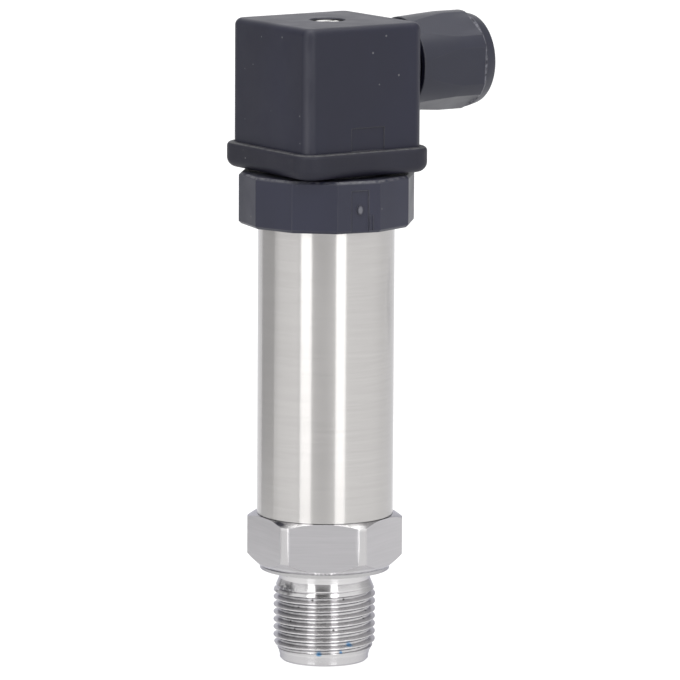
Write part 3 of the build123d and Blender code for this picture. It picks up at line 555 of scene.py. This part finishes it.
def thread_tree():
    """Geometry tree that bends a grid into a threaded surface about Z."""
    tree, given = tree_with_inputs("thread", THREAD_INPUTS)

    def work_out(operation, *values):
        return calculate(tree, operation, *values)

    grid = add(tree, "GeometryNodeMeshGrid", {
        "Size X": 1.0, "Size Y": 1.0, "Vertices X": work_out("ADD", given["Columns"], 1),
        "Vertices Y": given["Rows"]})
    split = add(tree, "ShaderNodeSeparateXYZ", {0: add(tree, "GeometryNodeInputPosition").outputs[0]})
    turn = work_out("ADD", split.outputs["X"], 0.5)
    along = work_out("MULTIPLY", work_out("ADD", split.outputs["Y"], 0.5), given["Length"])
    to_end = work_out("SUBTRACT", given["Length"], along)
    height = work_out("ADD", along, given["Start"])
    pitches = work_out("ADD", work_out("DIVIDE", height, given["Pitch"]), given["Phase"])
    phase = work_out("FRACT", work_out("SUBTRACT", pitches, turn))
    flank = work_out("ABSOLUTE", work_out("MULTIPLY_ADD", phase, 2.0, -1.0))
    cut = spread(tree, flank, ROOT_SHARE, 1.0 - CREST_SHARE, 1.0, 0.0)
    drawn_out = spread(tree, to_end, given["Fade End"], given["Fade Start"], 1.0, 0.0)
    not_yet = spread(tree, along, 0.0, given["Run In"], 1.0, 0.0)
    cut = work_out("MAXIMUM", work_out("SUBTRACT", work_out("SUBTRACT", cut, drawn_out), not_yet), 0.0)
    radius = work_out("SUBTRACT", given["Crest Radius"], work_out("MULTIPLY", cut, given["Depth"]))
    start_cone = work_out("MULTIPLY_ADD", along, given["Start Slope"], given["Start Radius"])
    end_cone = work_out("MULTIPLY_ADD", to_end, given["End Slope"], given["End Radius"])
    radius = work_out("MINIMUM", work_out("MINIMUM", radius, start_cone), end_cone)
    angle = work_out("MULTIPLY", turn, math.tau)
    place = add(tree, "ShaderNodeCombineXYZ", {
        "X": work_out("MULTIPLY", radius, work_out("COSINE", angle)),
        "Y": work_out("MULTIPLY", radius, work_out("SINE", angle)), "Z": height})
    bent = add(tree, "GeometryNodeSetPosition", {
        "Geometry": grid.outputs["Mesh"], "Position": place.outputs[0]})
    closed = add(tree, "GeometryNodeMergeByDistance", {"Geometry": bent.outputs[0], "Distance": MERGE_REACH})
    end_tree(tree, closed.outputs[0], given["Material"])
    return tree


THREAD = thread_tree()
print("thread tree has", len(THREAD.nodes), "nodes")

# %% Run a tree


def grown_mesh(tree, name, sizes):
    """Runs a geometry tree with the given inputs and returns the result as a plain mesh."""
    holder = linked(name, bpy.data.meshes.new(name))
    modifier = holder.modifiers.new(name, "NODES")
    modifier.node_group = tree
    for item in tree.interface.items_tree:
        if item.in_out == "INPUT":
            modifier[item.identifier] = sizes[item.name]
    depsgraph = bpy.context.evaluated_depsgraph_get()
    mesh = bpy.data.meshes.new_from_object(holder.evaluated_get(depsgraph), depsgraph=depsgraph)
    bpy.data.objects.remove(holder)
    print(name, "has", len(mesh.polygons), "faces")
    return mesh


def in_metres(sizes, plain=("Columns", "Rows", "Start Slope", "End Slope", "Phase", "Material")):
    """Turns the lengths of a table of inputs from millimetres into metres."""
    return {name: value if name in plain else value * MM for name, value in sizes.items()}


print("helpers ready for trees")

# %% [markdown]
# ## Sewing a thread into a solid
#
# The CAD fitting has a plain cylinder where the thread belongs. Laying a threaded sleeve over it would leave
# two skins. Instead the cylinder's faces are taken out of a copy of the mesh, and the threaded band is
# bridged to the two rims that stay. The copy is merged first, because the CAD mesh is loose triangles. Where
# a thread ends in the middle of a face, the copy is first cut there.

# %% Sew a band into a copy of a node
SEAM = 0.02  # the band starts this far from the rims that it is sewn to, in millimetres
TOUCH = 0.01  # what lies so close to a surface lies on it, in millimetres
LEAST_HEIGHT = 0.5  # a cylinder's own faces are longer than this, and its end faces aren't
CRISP_ANGLE = 14  # degrees


def thread_band(name, start, end, crest, material, others):
    """Threaded band between two places on its axis, with ends as wide as its crests unless others say."""
    sizes = {"Start": start + SEAM, "Length": end - start - 2 * SEAM, "Crest Radius": crest,
             "Start Radius": crest, "Start Slope": 1.0, "End Radius": crest, "End Slope": 1.0, "Phase": 0.0,
             "Material": material}
    return grown_mesh(THREAD, name, in_metres({**sizes, **others}))


def on_cylinder(start, end, radius, axis, centre=(0, 0)):
    """Test for the faces of a plain cylinder between two places on an axis; centre is across the axis."""
    across = [index for index in range(3) if index != axis]

    def is_old_face(face):
        places = [corner.co / MM for corner in face.verts]
        along = [place[axis] for place in places]
        reaches = [math.dist([place[index] for index in across], centre) for place in places]
        inside = start - TOUCH < min(along) and max(along) < end + TOUCH
        on_surface = all(abs(reach - radius) <= TOUCH for reach in reaches)
        return inside and on_surface and max(along) - min(along) > LEAST_HEIGHT

    return is_old_face


def shade(mesh):
    """Smooth shading that keeps the sharper edges crisp."""
    mesh.shade_smooth()
    mesh.set_sharp_from_angle(angle=math.radians(CRISP_ANGLE))


def sewn_copy(node, band, axis, is_old_face, name, cut_at=None):
    """Copy of a node in which a band round the given axis stands in for the faces that is_old_face picks."""
    form = bmesh.new()
    form.from_mesh(nodes[node].data)
    bmesh.ops.remove_doubles(form, verts=form.verts, dist=MERGE_REACH)
    if cut_at is not None:
        everything = form.verts[:] + form.edges[:] + form.faces[:]
        bmesh.ops.bisect_plane(form, geom=everything, plane_co=(0, 0, cut_at * MM), plane_no=(0, 0, 1))
    taken = [face for face in form.faces if is_old_face(face)]
    bmesh.ops.delete(form, geom=taken, context="FACES")
    form.from_mesh(band)
    open_edges = [edge for edge in form.edges if edge.is_boundary]
    places = [edge.verts[0].co[axis] for edge in open_edges]
    middle = (min(places) + max(places)) / 2
    for end in (-1, 1):
        rims = [edge for edge, place in zip(open_edges, places) if (place - middle) * end > 0]
        bmesh.ops.bridge_loops(form, edges=rims)
    left_open = sum(edge.is_boundary for edge in form.edges)
    bmesh.ops.recalc_face_normals(form, faces=form.faces)
    mesh = bpy.data.meshes.new(name)
    form.to_mesh(mesh)
    form.free()
    shade(mesh)
    mesh.materials.clear()
    print(name, "took out", len(taken), "faces, has", len(mesh.polygons), "and", left_open, "open edges")
    return linked(name, mesh)


def stand_in(piece, body, node, slot, *finishes):
    """Gives a new piece its finishes, tells the frame what it rides on, and hides the node that it replaces.
    """
    for finish in finishes:
        piece.data.materials.append(finish)
    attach(piece, body)
    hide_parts(node)


print("helpers ready for sewing")

# %% Threaded process fitting
THREAD_START = 1.85
THREAD_START_RADIUS = 8.9
THREAD_END_RADIUS = 8.85
THREAD_PITCH = 1.5
LEAD = 30.0  # degrees, the chamfer at the thread's start
FADE = 22.5  # degrees, the cone in which it ends
LEAST_RADIUS = 8.8  # what lies nearer to the axis is relief groove or bore, not thread
HEX_FLATS = 27.0
UPRIGHT = 0.01  # most that an upright face's normal may lean
band = thread_band("process_thread", THREAD_START, THREAD_TOP, THREAD_CREST, fitting_finish, {
    "Columns": 96, "Rows": 231, "Pitch": THREAD_PITCH, "Depth": THREAD_CREST - THREAD_ROOT,
    "Start Radius": THREAD_START_RADIUS, "Start Slope": math.tan(math.radians(LEAD)),
    "End Radius": THREAD_END_RADIUS, "End Slope": math.tan(math.radians(FADE)), "Run In": 0.001,
    "Fade Start": 3.3, "Fade End": -1.7, "Phase": 0.227})


def on_thread(face):
    """Faces of the plain thread cylinder and its two cones."""
    places = [corner.co / MM for corner in face.verts]
    inside = all(THREAD_START - TOUCH < place.z < THREAD_TOP + TOUCH for place in places)
    return inside and all(place.xy.length > LEAST_RADIUS for place in places)


fitting = sewn_copy("process_fitting", band, 2, on_thread, "threaded_fitting")
stand_in(fitting, "transmitter", "process_fitting", "fitting_steel", fitting_finish, hexagon_finish)
for face in fitting.data.polygons:
    reach = face.center.xy.dot(face.normal.xy) / MM
    face.material_index = int(abs(face.normal.z) < UPRIGHT and abs(reach - HEX_FLATS / 2) < TOUCH)
print("hexagon has", sum(face.material_index for face in fitting.data.polygons), "faces of drawn finish")

# %% [markdown]
# ## Moulded plastic
#
# The plug, the ring and the gland nut are glass-filled nylon, black with a little blue in it. The mould's
# skin is not polished, so the surface has a very fine grain, and its edges are rounded and a shade lighter,
# partly as wear and partly as painted highlight. The bevel node does both jobs: its normal softens the edge,
# and where it differs from the true normal there is an edge to lighten. A few specks of dust settle on it. A
# second, lighter tone is laid on as painted highlight along the plug's upright corners and on a rim each of
# the ring and the gasket, between two places on an axis, and as a lighter band on the nut's shoulder. A
# cloud breaks all of these up.

# %% Plastic helpers
DUST_CELL = 1.5
DUST_SIZE = 0.23
DUST_COLOUR = (0.075, 0.075, 0.085)
CORNER_STARTS = 11.7  # from the plug's axis, on both X and Y
CORNER_FULL = 12.6
RIM_FADE = 0.1


def moulded(name, colour, roughness, grain=0.12, depth=0.002, edge=0.25, edge_wear_and_highlight=(0.04, 0.04, 0.046), dust=0.04,
            shine=0.38):
    """Moulded plastic with fine grain, edges worn and painted with highlight, flow marks and dust. Sizes in
    millimetres.
    """
    material, tree, shader = start_material(name, colour, roughness, IOR=1.5, Specular_IOR_Level=shine)
    soft = rounded(tree, edge)
    true = add(tree, "ShaderNodeNewGeometry").outputs["Normal"]
    meet = add(tree, "ShaderNodeVectorMath", {0: soft, 1: true}, operation="DOT_PRODUCT").outputs["Value"]
    cloud = noise(tree, 160, 3.0)
    # edges lighter, partly as wear and partly as painted highlight
    edge_wear_and_highlight_share = product(tree, spread(tree, meet, 0.999, 0.93), spread(tree, cloud, 0.35, 0.65, 0.3, 1.0))
    flow = spread(tree, noise(tree, 60, 3.0, (1, 1, 0.35), (0.2, 0.1, 0.5)), 0.35, 0.7)
    tone = mix_colours(tree, flow, tuple(value * 0.75 for value in colour), colour)
    tone = lay_over(tree, tone, [(edge_wear_and_highlight_share, edge_wear_and_highlight), (specks(tree, DUST_CELL, DUST_SIZE, dust), DUST_COLOUR)])
    gloss = spread(tree, cloud, 0.3, 0.7, roughness - 0.04, roughness + 0.05)
    tree.links.new(tone, shader.inputs["Base Color"])
    tree.links.new(gloss, shader.inputs["Roughness"])
    tree.links.new(bump(tree, noise(tree, 1 / (grain * MM), 2.0), depth, soft), shader.inputs["Normal"])
    return material


def retouch(material, share_of, colour):
    """Lays another colour over a finish where share_of(tree) is 1."""
    tree = material.node_tree
    shader = tree.nodes["Principled BSDF"]
    tone = shader.inputs["Base Color"].links[0].from_socket
    tree.links.new(mix_colours(tree, share_of(tree), tone, colour), shader.inputs["Base Color"])


def broken_band(axis, rim, gaps=0.35):
    """Share that is 1 between two places on an axis, broken up by a cloud."""
    low, high = rim

    def share_of(tree):
        cloud = spread(tree, noise(tree, 900, 4.0), gaps, gaps + 0.28)
        return product(tree, within(tree, axis, (low, low + RIM_FADE, high - RIM_FADE, high)), cloud)

    return share_of


def corner_highlights(tree):
    """Share of painted highlight, 1 along the middle of the plug's four upright corners."""
    sides = [calculate(tree, "ABSOLUTE", coordinate(tree, axis)) for axis in "XY"]
    near_corner = [spread(tree, side, CORNER_STARTS, CORNER_FULL) for side in sides]
    return product(tree, *near_corner, spread(tree, noise(tree, 300, 3.0, (1, 1, 0.3)), 0.25, 0.6))


print("helpers ready for plastics")

# %% [markdown]
# Every moulded piece gets its finish from the same function: the seals, the pale nylon pieces and the chip
# are moulded too. The ring has a pale mark where the plastic was let into its mould, and the hole round the
# screw's head gets painted shade, almost black, because it is too deep for light to come back out of it.

# %% Plastic and rubber finishes
GATE_MARK = ((-3.09, -16.3, 90.5), (0.5, 0.5, 0.85))  # middle and radii, on the ring
HEAD_HOLE = ((0, 0, 123.5), (3.42, 3.42, 20))
# heights of the painted highlights on the ring's and the gasket's rims; the nut's lighter band lies along X
RING_RIM = (95.55, 96.05)
GASKET_RIM = (101.1, 101.45)
NUT_SHOULDER = (30.9, 31.3)
plug_finish = moulded("plug_moulded", (0.006, 0.0065, 0.021), 0.46)
# painted highlight along the plug's upright corners
retouch(plug_finish, corner_highlights, (0.024, 0.024, 0.036))
# painted shade: the hole round the screw's head, almost black
retouch(plug_finish, lambda tree: blot(tree, *HEAD_HOLE, 0.02), (0.0008, 0.0008, 0.001))
ring_finish = moulded("ring_moulded", (0.0140, 0.0150, 0.033), 0.42, edge_wear_and_highlight=(0.055, 0.055, 0.065))
# painted highlight along the ring's upper rim
retouch(ring_finish, broken_band("Z", RING_RIM), (0.085, 0.085, 0.095))
retouch(ring_finish, lambda tree: blot(tree, *GATE_MARK, 0.35), (0.10, 0.10, 0.115))
nut_finish = moulded("nut_moulded", (0.0070, 0.0080, 0.022), 0.40, edge=0.35, dust=0.06, shine=0.50)
# a lighter, broken band along the nut's shoulder
retouch(nut_finish, broken_band("X", NUT_SHOULDER, 0.42), (0.16, 0.16, 0.19))
gasket_finish = moulded("gasket_moulded", (0.006, 0.006, 0.016), 0.58, 0.2, 0.005, 0.2,
                        (0.05, 0.05, 0.055), 0.07)
# painted highlight along the gasket's top edge
retouch(gasket_finish, broken_band("Z", GASKET_RIM, 0.25), (0.060, 0.060, 0.064))
base_finish = moulded("base_moulded", (0.010, 0.010, 0.014), 0.50)
insert_finish = moulded("insert_moulded", (0.05, 0.05, 0.055), 0.48, edge_wear_and_highlight=(0.09, 0.09, 0.09))
seal_finish = moulded("seal_rubber", (0.010, 0.010, 0.011), 0.55, 0.15, 0.004, 0.15, (0.03, 0.03, 0.03), 0.02)
holder_finish = moulded("holder_nylon", (0.62, 0.58, 0.48), 0.5, edge_wear_and_highlight=(0.75, 0.72, 0.64), dust=0.02)
washer_finish = moulded("washer_nylon", (0.55, 0.55, 0.52), 0.42, edge_wear_and_highlight=(0.7, 0.7, 0.68), dust=0.02)
chip_finish = moulded("chip_epoxy", (0.015, 0.015, 0.016), 0.55, 0.08, 0.003, 0.05, (0.03, 0.03, 0.03), 0.0)
print("plastics ready")

# %% [markdown]
# ## The gland's neck
#
# The neck that the gland nut screws on shows in the gap between nut and housing, and much more of it when
# the nut is backed off. It gets the same kind of band as the fitting, laid along +X. It is the tree's own
# mesh that is turned, before it is sewn in, so the finished piece still stands at the origin.

# %% Threaded plug housing
GLAND_AXIS_Z = 115.95
NECK_RADIUS = 7.6
NECK_START = 13.5
NECK_END = 24.5
NECK_PITCH = 1.411
band = thread_band("neck_thread", NECK_START, NECK_END, NECK_RADIUS, plug_finish, {
    "Columns": 84, "Rows": 125, "Pitch": NECK_PITCH, "Depth": 0.62, "Run In": NECK_PITCH, "Fade Start": 0.02,
    "Fade End": 0.01})
band.transform(Matrix.Translation((0, 0, GLAND_AXIS_Z * MM)) @ Matrix.Rotation(math.radians(90), 4, "Y"))
on_neck = on_cylinder(NECK_START, NECK_END, NECK_RADIUS, 0, (0, GLAND_AXIS_Z))
housing = sewn_copy("plug_housing", band, 0, on_neck, "threaded_housing")
stand_in(housing, "plug", "plug_housing", "plug_plastic", plug_finish)

# %% [markdown]
# ## The gland nut
#
# The real nut is moulded round and slightly conical, and its six flats are cut only as deep as the cone
# lets them: near the housing they fade out, and at the outer end a round rim stands a little proud of them.
# It was tightened by hand, so its flats are a few degrees off upright. That is a rule again: at each place
# the radius is the smaller of the turned profile and the flat. The rows of this mesh are stations of the
# profile, and its columns are drawn to the flats' edges, so that each edge is one clean line of the mesh and
# not a staircase across it.

# %% Gland nut
NUT_FLAT = 8.94  # from the axis to a flat
NUT_TURN = -3.0  # degrees
NUT_CREST = 9.66
NUT_RIM = 9.30
NUT_STEP = 31.25  # where the flats have run out into the rim
NUT_LAND = 9.45
FLAT_COLUMNS = 10
CORNER_COLUMNS = 6
LEAST_FLAT = 3.0  # degrees, half of a flat where it has faded out
NUT_CONE = [(16.85 + 0.865 * step, 9.04 + 0.062 * step) for step in range(11)]
NUT_FLATTED = [(16.7, 8.95)] + NUT_CONE + [(31.0, NUT_CREST)]  # stations with flats: x and turned radius
NUT_ROUND = [
    (31.5, 9.28), (33.1, 8.88), (33.4, 8.76), (33.6, 8.6), (33.7, 8.35), (33.7, 6.2), (32.5, 5.0),
    (27.46, 5.0), (27.46, 7.65), (17.0, 7.65), (16.7, 7.95),
]  # round stations: the rim, then back through the bore


def nut_angles(half_flat):
    """Angles of the columns, from one edge of a flat round to the next flat's, six times."""
    angles = []
    for flat in range(6):
        inside = [half_flat * (2 * step / FLAT_COLUMNS - 1) for step in range(FLAT_COLUMNS)]
        beyond = [half_flat + (60 - 2 * half_flat) * step / CORNER_COLUMNS for step in range(CORNER_COLUMNS)]
        angles += [60 * flat + angle for angle in inside + beyond]
    return angles


def half_width(turned):
    """Half of the angle that a flat takes up on a turned radius."""
    return math.degrees(math.acos(min(NUT_FLAT / turned, 1)))


def on_flat(angle):
    """Radius at which a flat lies in the direction of an angle."""
    return NUT_FLAT / math.cos(math.radians((angle + 30) % 60 - 30))


def nut_place(x, radius, angle):
    """Point of the nut in metres."""
    angle = math.radians(angle + NUT_TURN)
    return x * MM, -radius * MM * math.cos(angle), (GLAND_AXIS_Z + radius * math.sin(angle)) * MM


print("half a flat takes up", round(half_width(NUT_CREST), 1), "degrees of the crests")

# %% Gland nut mesh
rings = []
for x, turned in NUT_FLATTED:
    angles = nut_angles(max(half_width(turned), LEAST_FLAT))
    rings.append([(x, min(turned, on_flat(angle)), angle) for angle in angles])
rings.append([(NUT_STEP, min(max(radius, NUT_RIM), NUT_LAND), angle) for x, radius, angle in rings[-1]])
rings += [[(x, radius, angle) for angle in nut_angles(half_width(NUT_CREST))] for x, radius in NUT_ROUND]
form = bmesh.new()
net = [[form.verts.new(nut_place(*station)) for station in ring] for ring in rings]
for row, following in zip(net, net[1:] + net[:1]):
    for column in range(len(row)):
        form.faces.new([row[column - 1], row[column], following[column], following[column - 1]])
bmesh.ops.recalc_face_normals(form, faces=form.faces)
nut_mesh = bpy.data.meshes.new("milled_nut")
form.to_mesh(nut_mesh)
form.free()
shade(nut_mesh)
nut = linked("milled_nut", nut_mesh)
stand_in(nut, "nut", "gland_nut", "nut_plastic", nut_finish)
mouth = max(corner.co.x for corner in nut_mesh.vertices) / MM
print("nut has", len(nut_mesh.polygons), "faces and reaches", round(mouth, 2))

# %% [markdown]
# ## The centre screw
#
# One M3 screw holds the plug. Only its head shows, until the plug is lifted: then its tip comes out below
# the insert, so the last twelve millimetres get their thread. The shank is one long face in the CAD mesh, so
# the copy is cut where the thread ends. A thread this fine could be a bump map, but the tree is there.

# %% Threaded centre screw
SCREW_RADIUS = 1.45
SCREW_START = 92.05
SCREW_THREAD_TOP = 104.0
SCREW_PITCH = 0.5
screw_finish, *_ = turned_steel("screw_bright", (0.80, 0.79, 0.78), 0.42, 0.08, 0.0004, 0.04, 0.0, 0.2)
band = thread_band("screw_thread", SCREW_START, SCREW_THREAD_TOP, SCREW_RADIUS, screw_finish, {
    "Columns": 32, "Rows": 337, "Pitch": SCREW_PITCH, "Depth": 0.29, "Run In": 0.01, "Fade Start": 0.6,
    "Fade End": 0.05})
on_shank = on_cylinder(SCREW_START, SCREW_THREAD_TOP, SCREW_RADIUS, 2)
screw = sewn_copy("centre_screw", band, 2, on_shank, "threaded_screw", SCREW_THREAD_TOP)
stand_in(screw, "screw", "centre_screw", "screw_steel", screw_finish)

# %% [markdown]
# ## Ribs on the ring
#
# On one of its twelve faces the clamp ring has two fine upright ribs beside the sunk panel. What repeats is
# made by Geometry Nodes: a line of points, a small box on each, realized and dressed.

# %% Rib tree
rib_tree, given = tree_with_inputs("ribs", {
    "Count": "NodeSocketInt", "Spacing": NUMBER, "Width": NUMBER, "Height": NUMBER, "Proud": NUMBER,
    "Material": "NodeSocketMaterial"})
step = add(rib_tree, "ShaderNodeCombineXYZ", {"X": given["Spacing"]})
size = add(rib_tree, "ShaderNodeCombineXYZ", {"X": given["Width"], "Y": given["Proud"], "Z": given["Height"]})
line = add(rib_tree, "GeometryNodeMeshLine", {"Count": given["Count"], "Offset": step.outputs[0]})
block = add(rib_tree, "GeometryNodeMeshCube", {"Size": size.outputs[0]})
placed = add(rib_tree, "GeometryNodeInstanceOnPoints", {
    "Points": line.outputs[0], "Instance": block.outputs["Mesh"]})
end_tree(rib_tree, placed.outputs[0], given["Material"])
print("rib tree has", len(rib_tree.nodes), "nodes")

# %% Ring ribs
RING_FACE_ANGLE = 258.5
RING_FACE_REACH = 16.5
RIB_ACROSS = 2.2  # from the middle of the face
RIB_FOOT = 86.5
RIB_SIZES = {"Count": 2, "Spacing": 0.65, "Width": 0.2, "Height": 2.9, "Proud": 0.24, "Material": ring_finish}
ribs_mesh = grown_mesh(rib_tree, "ring_ribs", in_metres(RIB_SIZES, ("Count", "Material")))
out = math.radians(RING_FACE_ANGLE)
face_frame = Matrix.Translation(Vector((math.cos(out), math.sin(out), 0)) * RING_FACE_REACH * MM)
face_frame @= Matrix.Rotation(out + math.pi / 2, 4, "Z")
rib_middle = RIB_FOOT + RIB_SIZES["Height"] / 2
ribs_mesh.transform(face_frame @ Matrix.Translation((RIB_ACROSS * MM, 0, rib_middle * MM)))
ribs = linked("ring_ribs", ribs_mesh)
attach(ribs, "transmitter")
print("ribs at", [round(value / MM, 1) for value in ribs_mesh.vertices[0].co])

# %% [markdown]
# ## Finishes of the inner pieces
#
# The inner pieces show when the plug is lifted, when a joint is opened, or when a reader takes the model
# apart, so each has its own finish too. Where one solid holds two materials, such as a trimmer with its
# brass screw, an Object coordinate tells them apart.

# %% Inner finishes
METAL_GRAIN = 0.25


def plain_metal(name, colour, roughness):
    """Metal with a light cloud in its colour and gloss."""
    material, tree, shader = start_material(name, colour, roughness, 1.0)
    cloud = noise(tree, 1 / (METAL_GRAIN * MM), 3.0)
    tone = mix_colours(tree, spread(tree, cloud, 0.3, 0.7), tuple(value * 0.85 for value in colour), colour)
    gloss = spread(tree, cloud, 0.3, 0.7, roughness * 0.85, roughness * 1.2)
    tree.links.new(tone, shader.inputs["Base Color"])
    tree.links.new(gloss, shader.inputs["Roughness"])
    tree.links.new(bump(tree, cloud, 0.002, rounded(tree, 0.08)), shader.inputs["Normal"])
    return material, tree, shader, tone


tinned_finish, *_ = plain_metal("brass_tinned", (0.72, 0.70, 0.66), 0.28)
gold_finish, *_ = plain_metal("pin_gilded", (0.90, 0.66, 0.30), 0.25)
bush_finish, *_ = plain_metal("bush_brass", (0.78, 0.58, 0.30), 0.30)
can_finish, *_ = plain_metal("can_aluminium", (0.80, 0.80, 0.80), 0.35)
silicon_finish, *_ = plain_metal("silicon_polished", (0.22, 0.24, 0.30), 0.12)
cell_finish, *_ = turned_steel("cell_turned", (0.58, 0.57, 0.56), 0.26, 0.10)
glass_finish, tree, shader = start_material("bead_glass", (0.05, 0.09, 0.08), 0.08, IOR=1.5)
bubbles = specks(tree, 0.12, 0.05, 0.2)
tone = mix_colours(tree, bubbles, (0.05, 0.09, 0.08), (0.25, 0.32, 0.30))
tree.links.new(tone, shader.inputs["Base Color"])

# Board: green lacquer over copper tracks
TRACK_PITCH = 5.0
board_finish, tree, shader = start_material("board_lacquered", (0.015, 0.13, 0.05), 0.32, Coat_Weight=0.4)
upright = add(tree, "ShaderNodeMapping", {"Vector": object_place(tree), "Rotation": (math.pi / 2, 0, 0)})
tracks = add(tree, "ShaderNodeTexBrick", {
    "Vector": upright.outputs[0], "Scale": 1 / (TRACK_PITCH * MM), "Mortar Size": 0.05, "Mortar Smooth": 0.2,
    "Brick Width": 0.9, "Row Height": 0.5}).outputs["Fac"]
tone = mix_colours(tree, tracks, (0.012, 0.11, 0.045), (0.04, 0.24, 0.09))
tree.links.new(tone, shader.inputs["Base Color"])
tree.links.new(bump(tree, tracks, 0.03, rounded(tree, 0.1)), shader.inputs["Normal"])

# Trimmers: blue body, and a brass screw, the only metal, proud of its front
TRIMMER_FRONT = -5.4
trimmer_finish, tree, shader, tone = plain_metal("trimmer_blue", (0.02, 0.10, 0.42), 0.35)
brass_share = spread(tree, coordinate(tree, "Y"), TRIMMER_FRONT, TRIMMER_FRONT - 0.02)
tone = mix_colours(tree, brass_share, tone, (0.80, 0.60, 0.30))
tree.links.new(tone, shader.inputs["Base Color"])
tree.links.new(brass_share, shader.inputs["Metallic"])

# Wires: one colour in each quarter round the axis
wire_finish, tree, shader = start_material("wire_sleeve", (0.4, 0.02, 0.02), 0.4)
right_side = calculate(tree, "GREATER_THAN", coordinate(tree, "X"), 0.0)
far_side = calculate(tree, "GREATER_THAN", coordinate(tree, "Y"), 0.0)
near_pair = mix_colours(tree, right_side, (0.45, 0.02, 0.02), (0.012, 0.012, 0.012))
far_pair = mix_colours(tree, right_side, (0.55, 0.42, 0.02), (0.03, 0.25, 0.06))
tree.links.new(mix_colours(tree, far_side, near_pair, far_pair), shader.inputs["Base Color"])
tree.links.new(bump(tree, noise(tree, 6000), 0.004, rounded(tree, 0.05)), shader.inputs["Normal"])
print("inner finishes ready")

# %% Dress the CAD nodes that keep their mesh
FINISHES = {
    tube_finish: ["housing_tube"],
    cell_finish: ["sensor_header", "sensor_diaphragm", "sensor_weld_ring", "sensor_lock_ring"],
    silicon_finish: ["sensor_die"],
    gold_finish: ["sensor_pins"],
    glass_finish: ["pin_glass_seals"],
    seal_finish: ["sensor_seal", "base_o_ring", "cable_seal"],
    holder_finish: ["board_holder"],
    board_finish: ["circuit_board"],
    chip_finish: ["amplifier_chip"],
    can_finish: ["capacitors"],
    trimmer_finish: ["zero_trimmer", "span_trimmer"],
    wire_finish: ["sensor_leads", "connector_leads"],
    base_finish: ["connector_base"],
    bush_finish: ["centre_nut"],
    tinned_finish: ["contact_blade_1", "contact_blade_2", "contact_blade_3", "earth_blade",
                    "socket_contact_1", "socket_contact_2", "socket_contact_3", "earth_socket"],
    ring_finish: ["clamp_ring"],
    gasket_finish: ["profile_gasket"],
    insert_finish: ["terminal_block"],
    screw_finish: ["terminal_screws"],
    washer_finish: ["screw_washer", "thrust_washer"],
}
for finish, names in FINISHES.items():
    for name in names:
        slot = nodes[name].material_slots[0]
        slot.link = "OBJECT"
        slot.material = finish
bare = set(nodes) - {name for names in FINISHES.values() for name in names}
print("replaced instead of dressed:", sorted(bare))
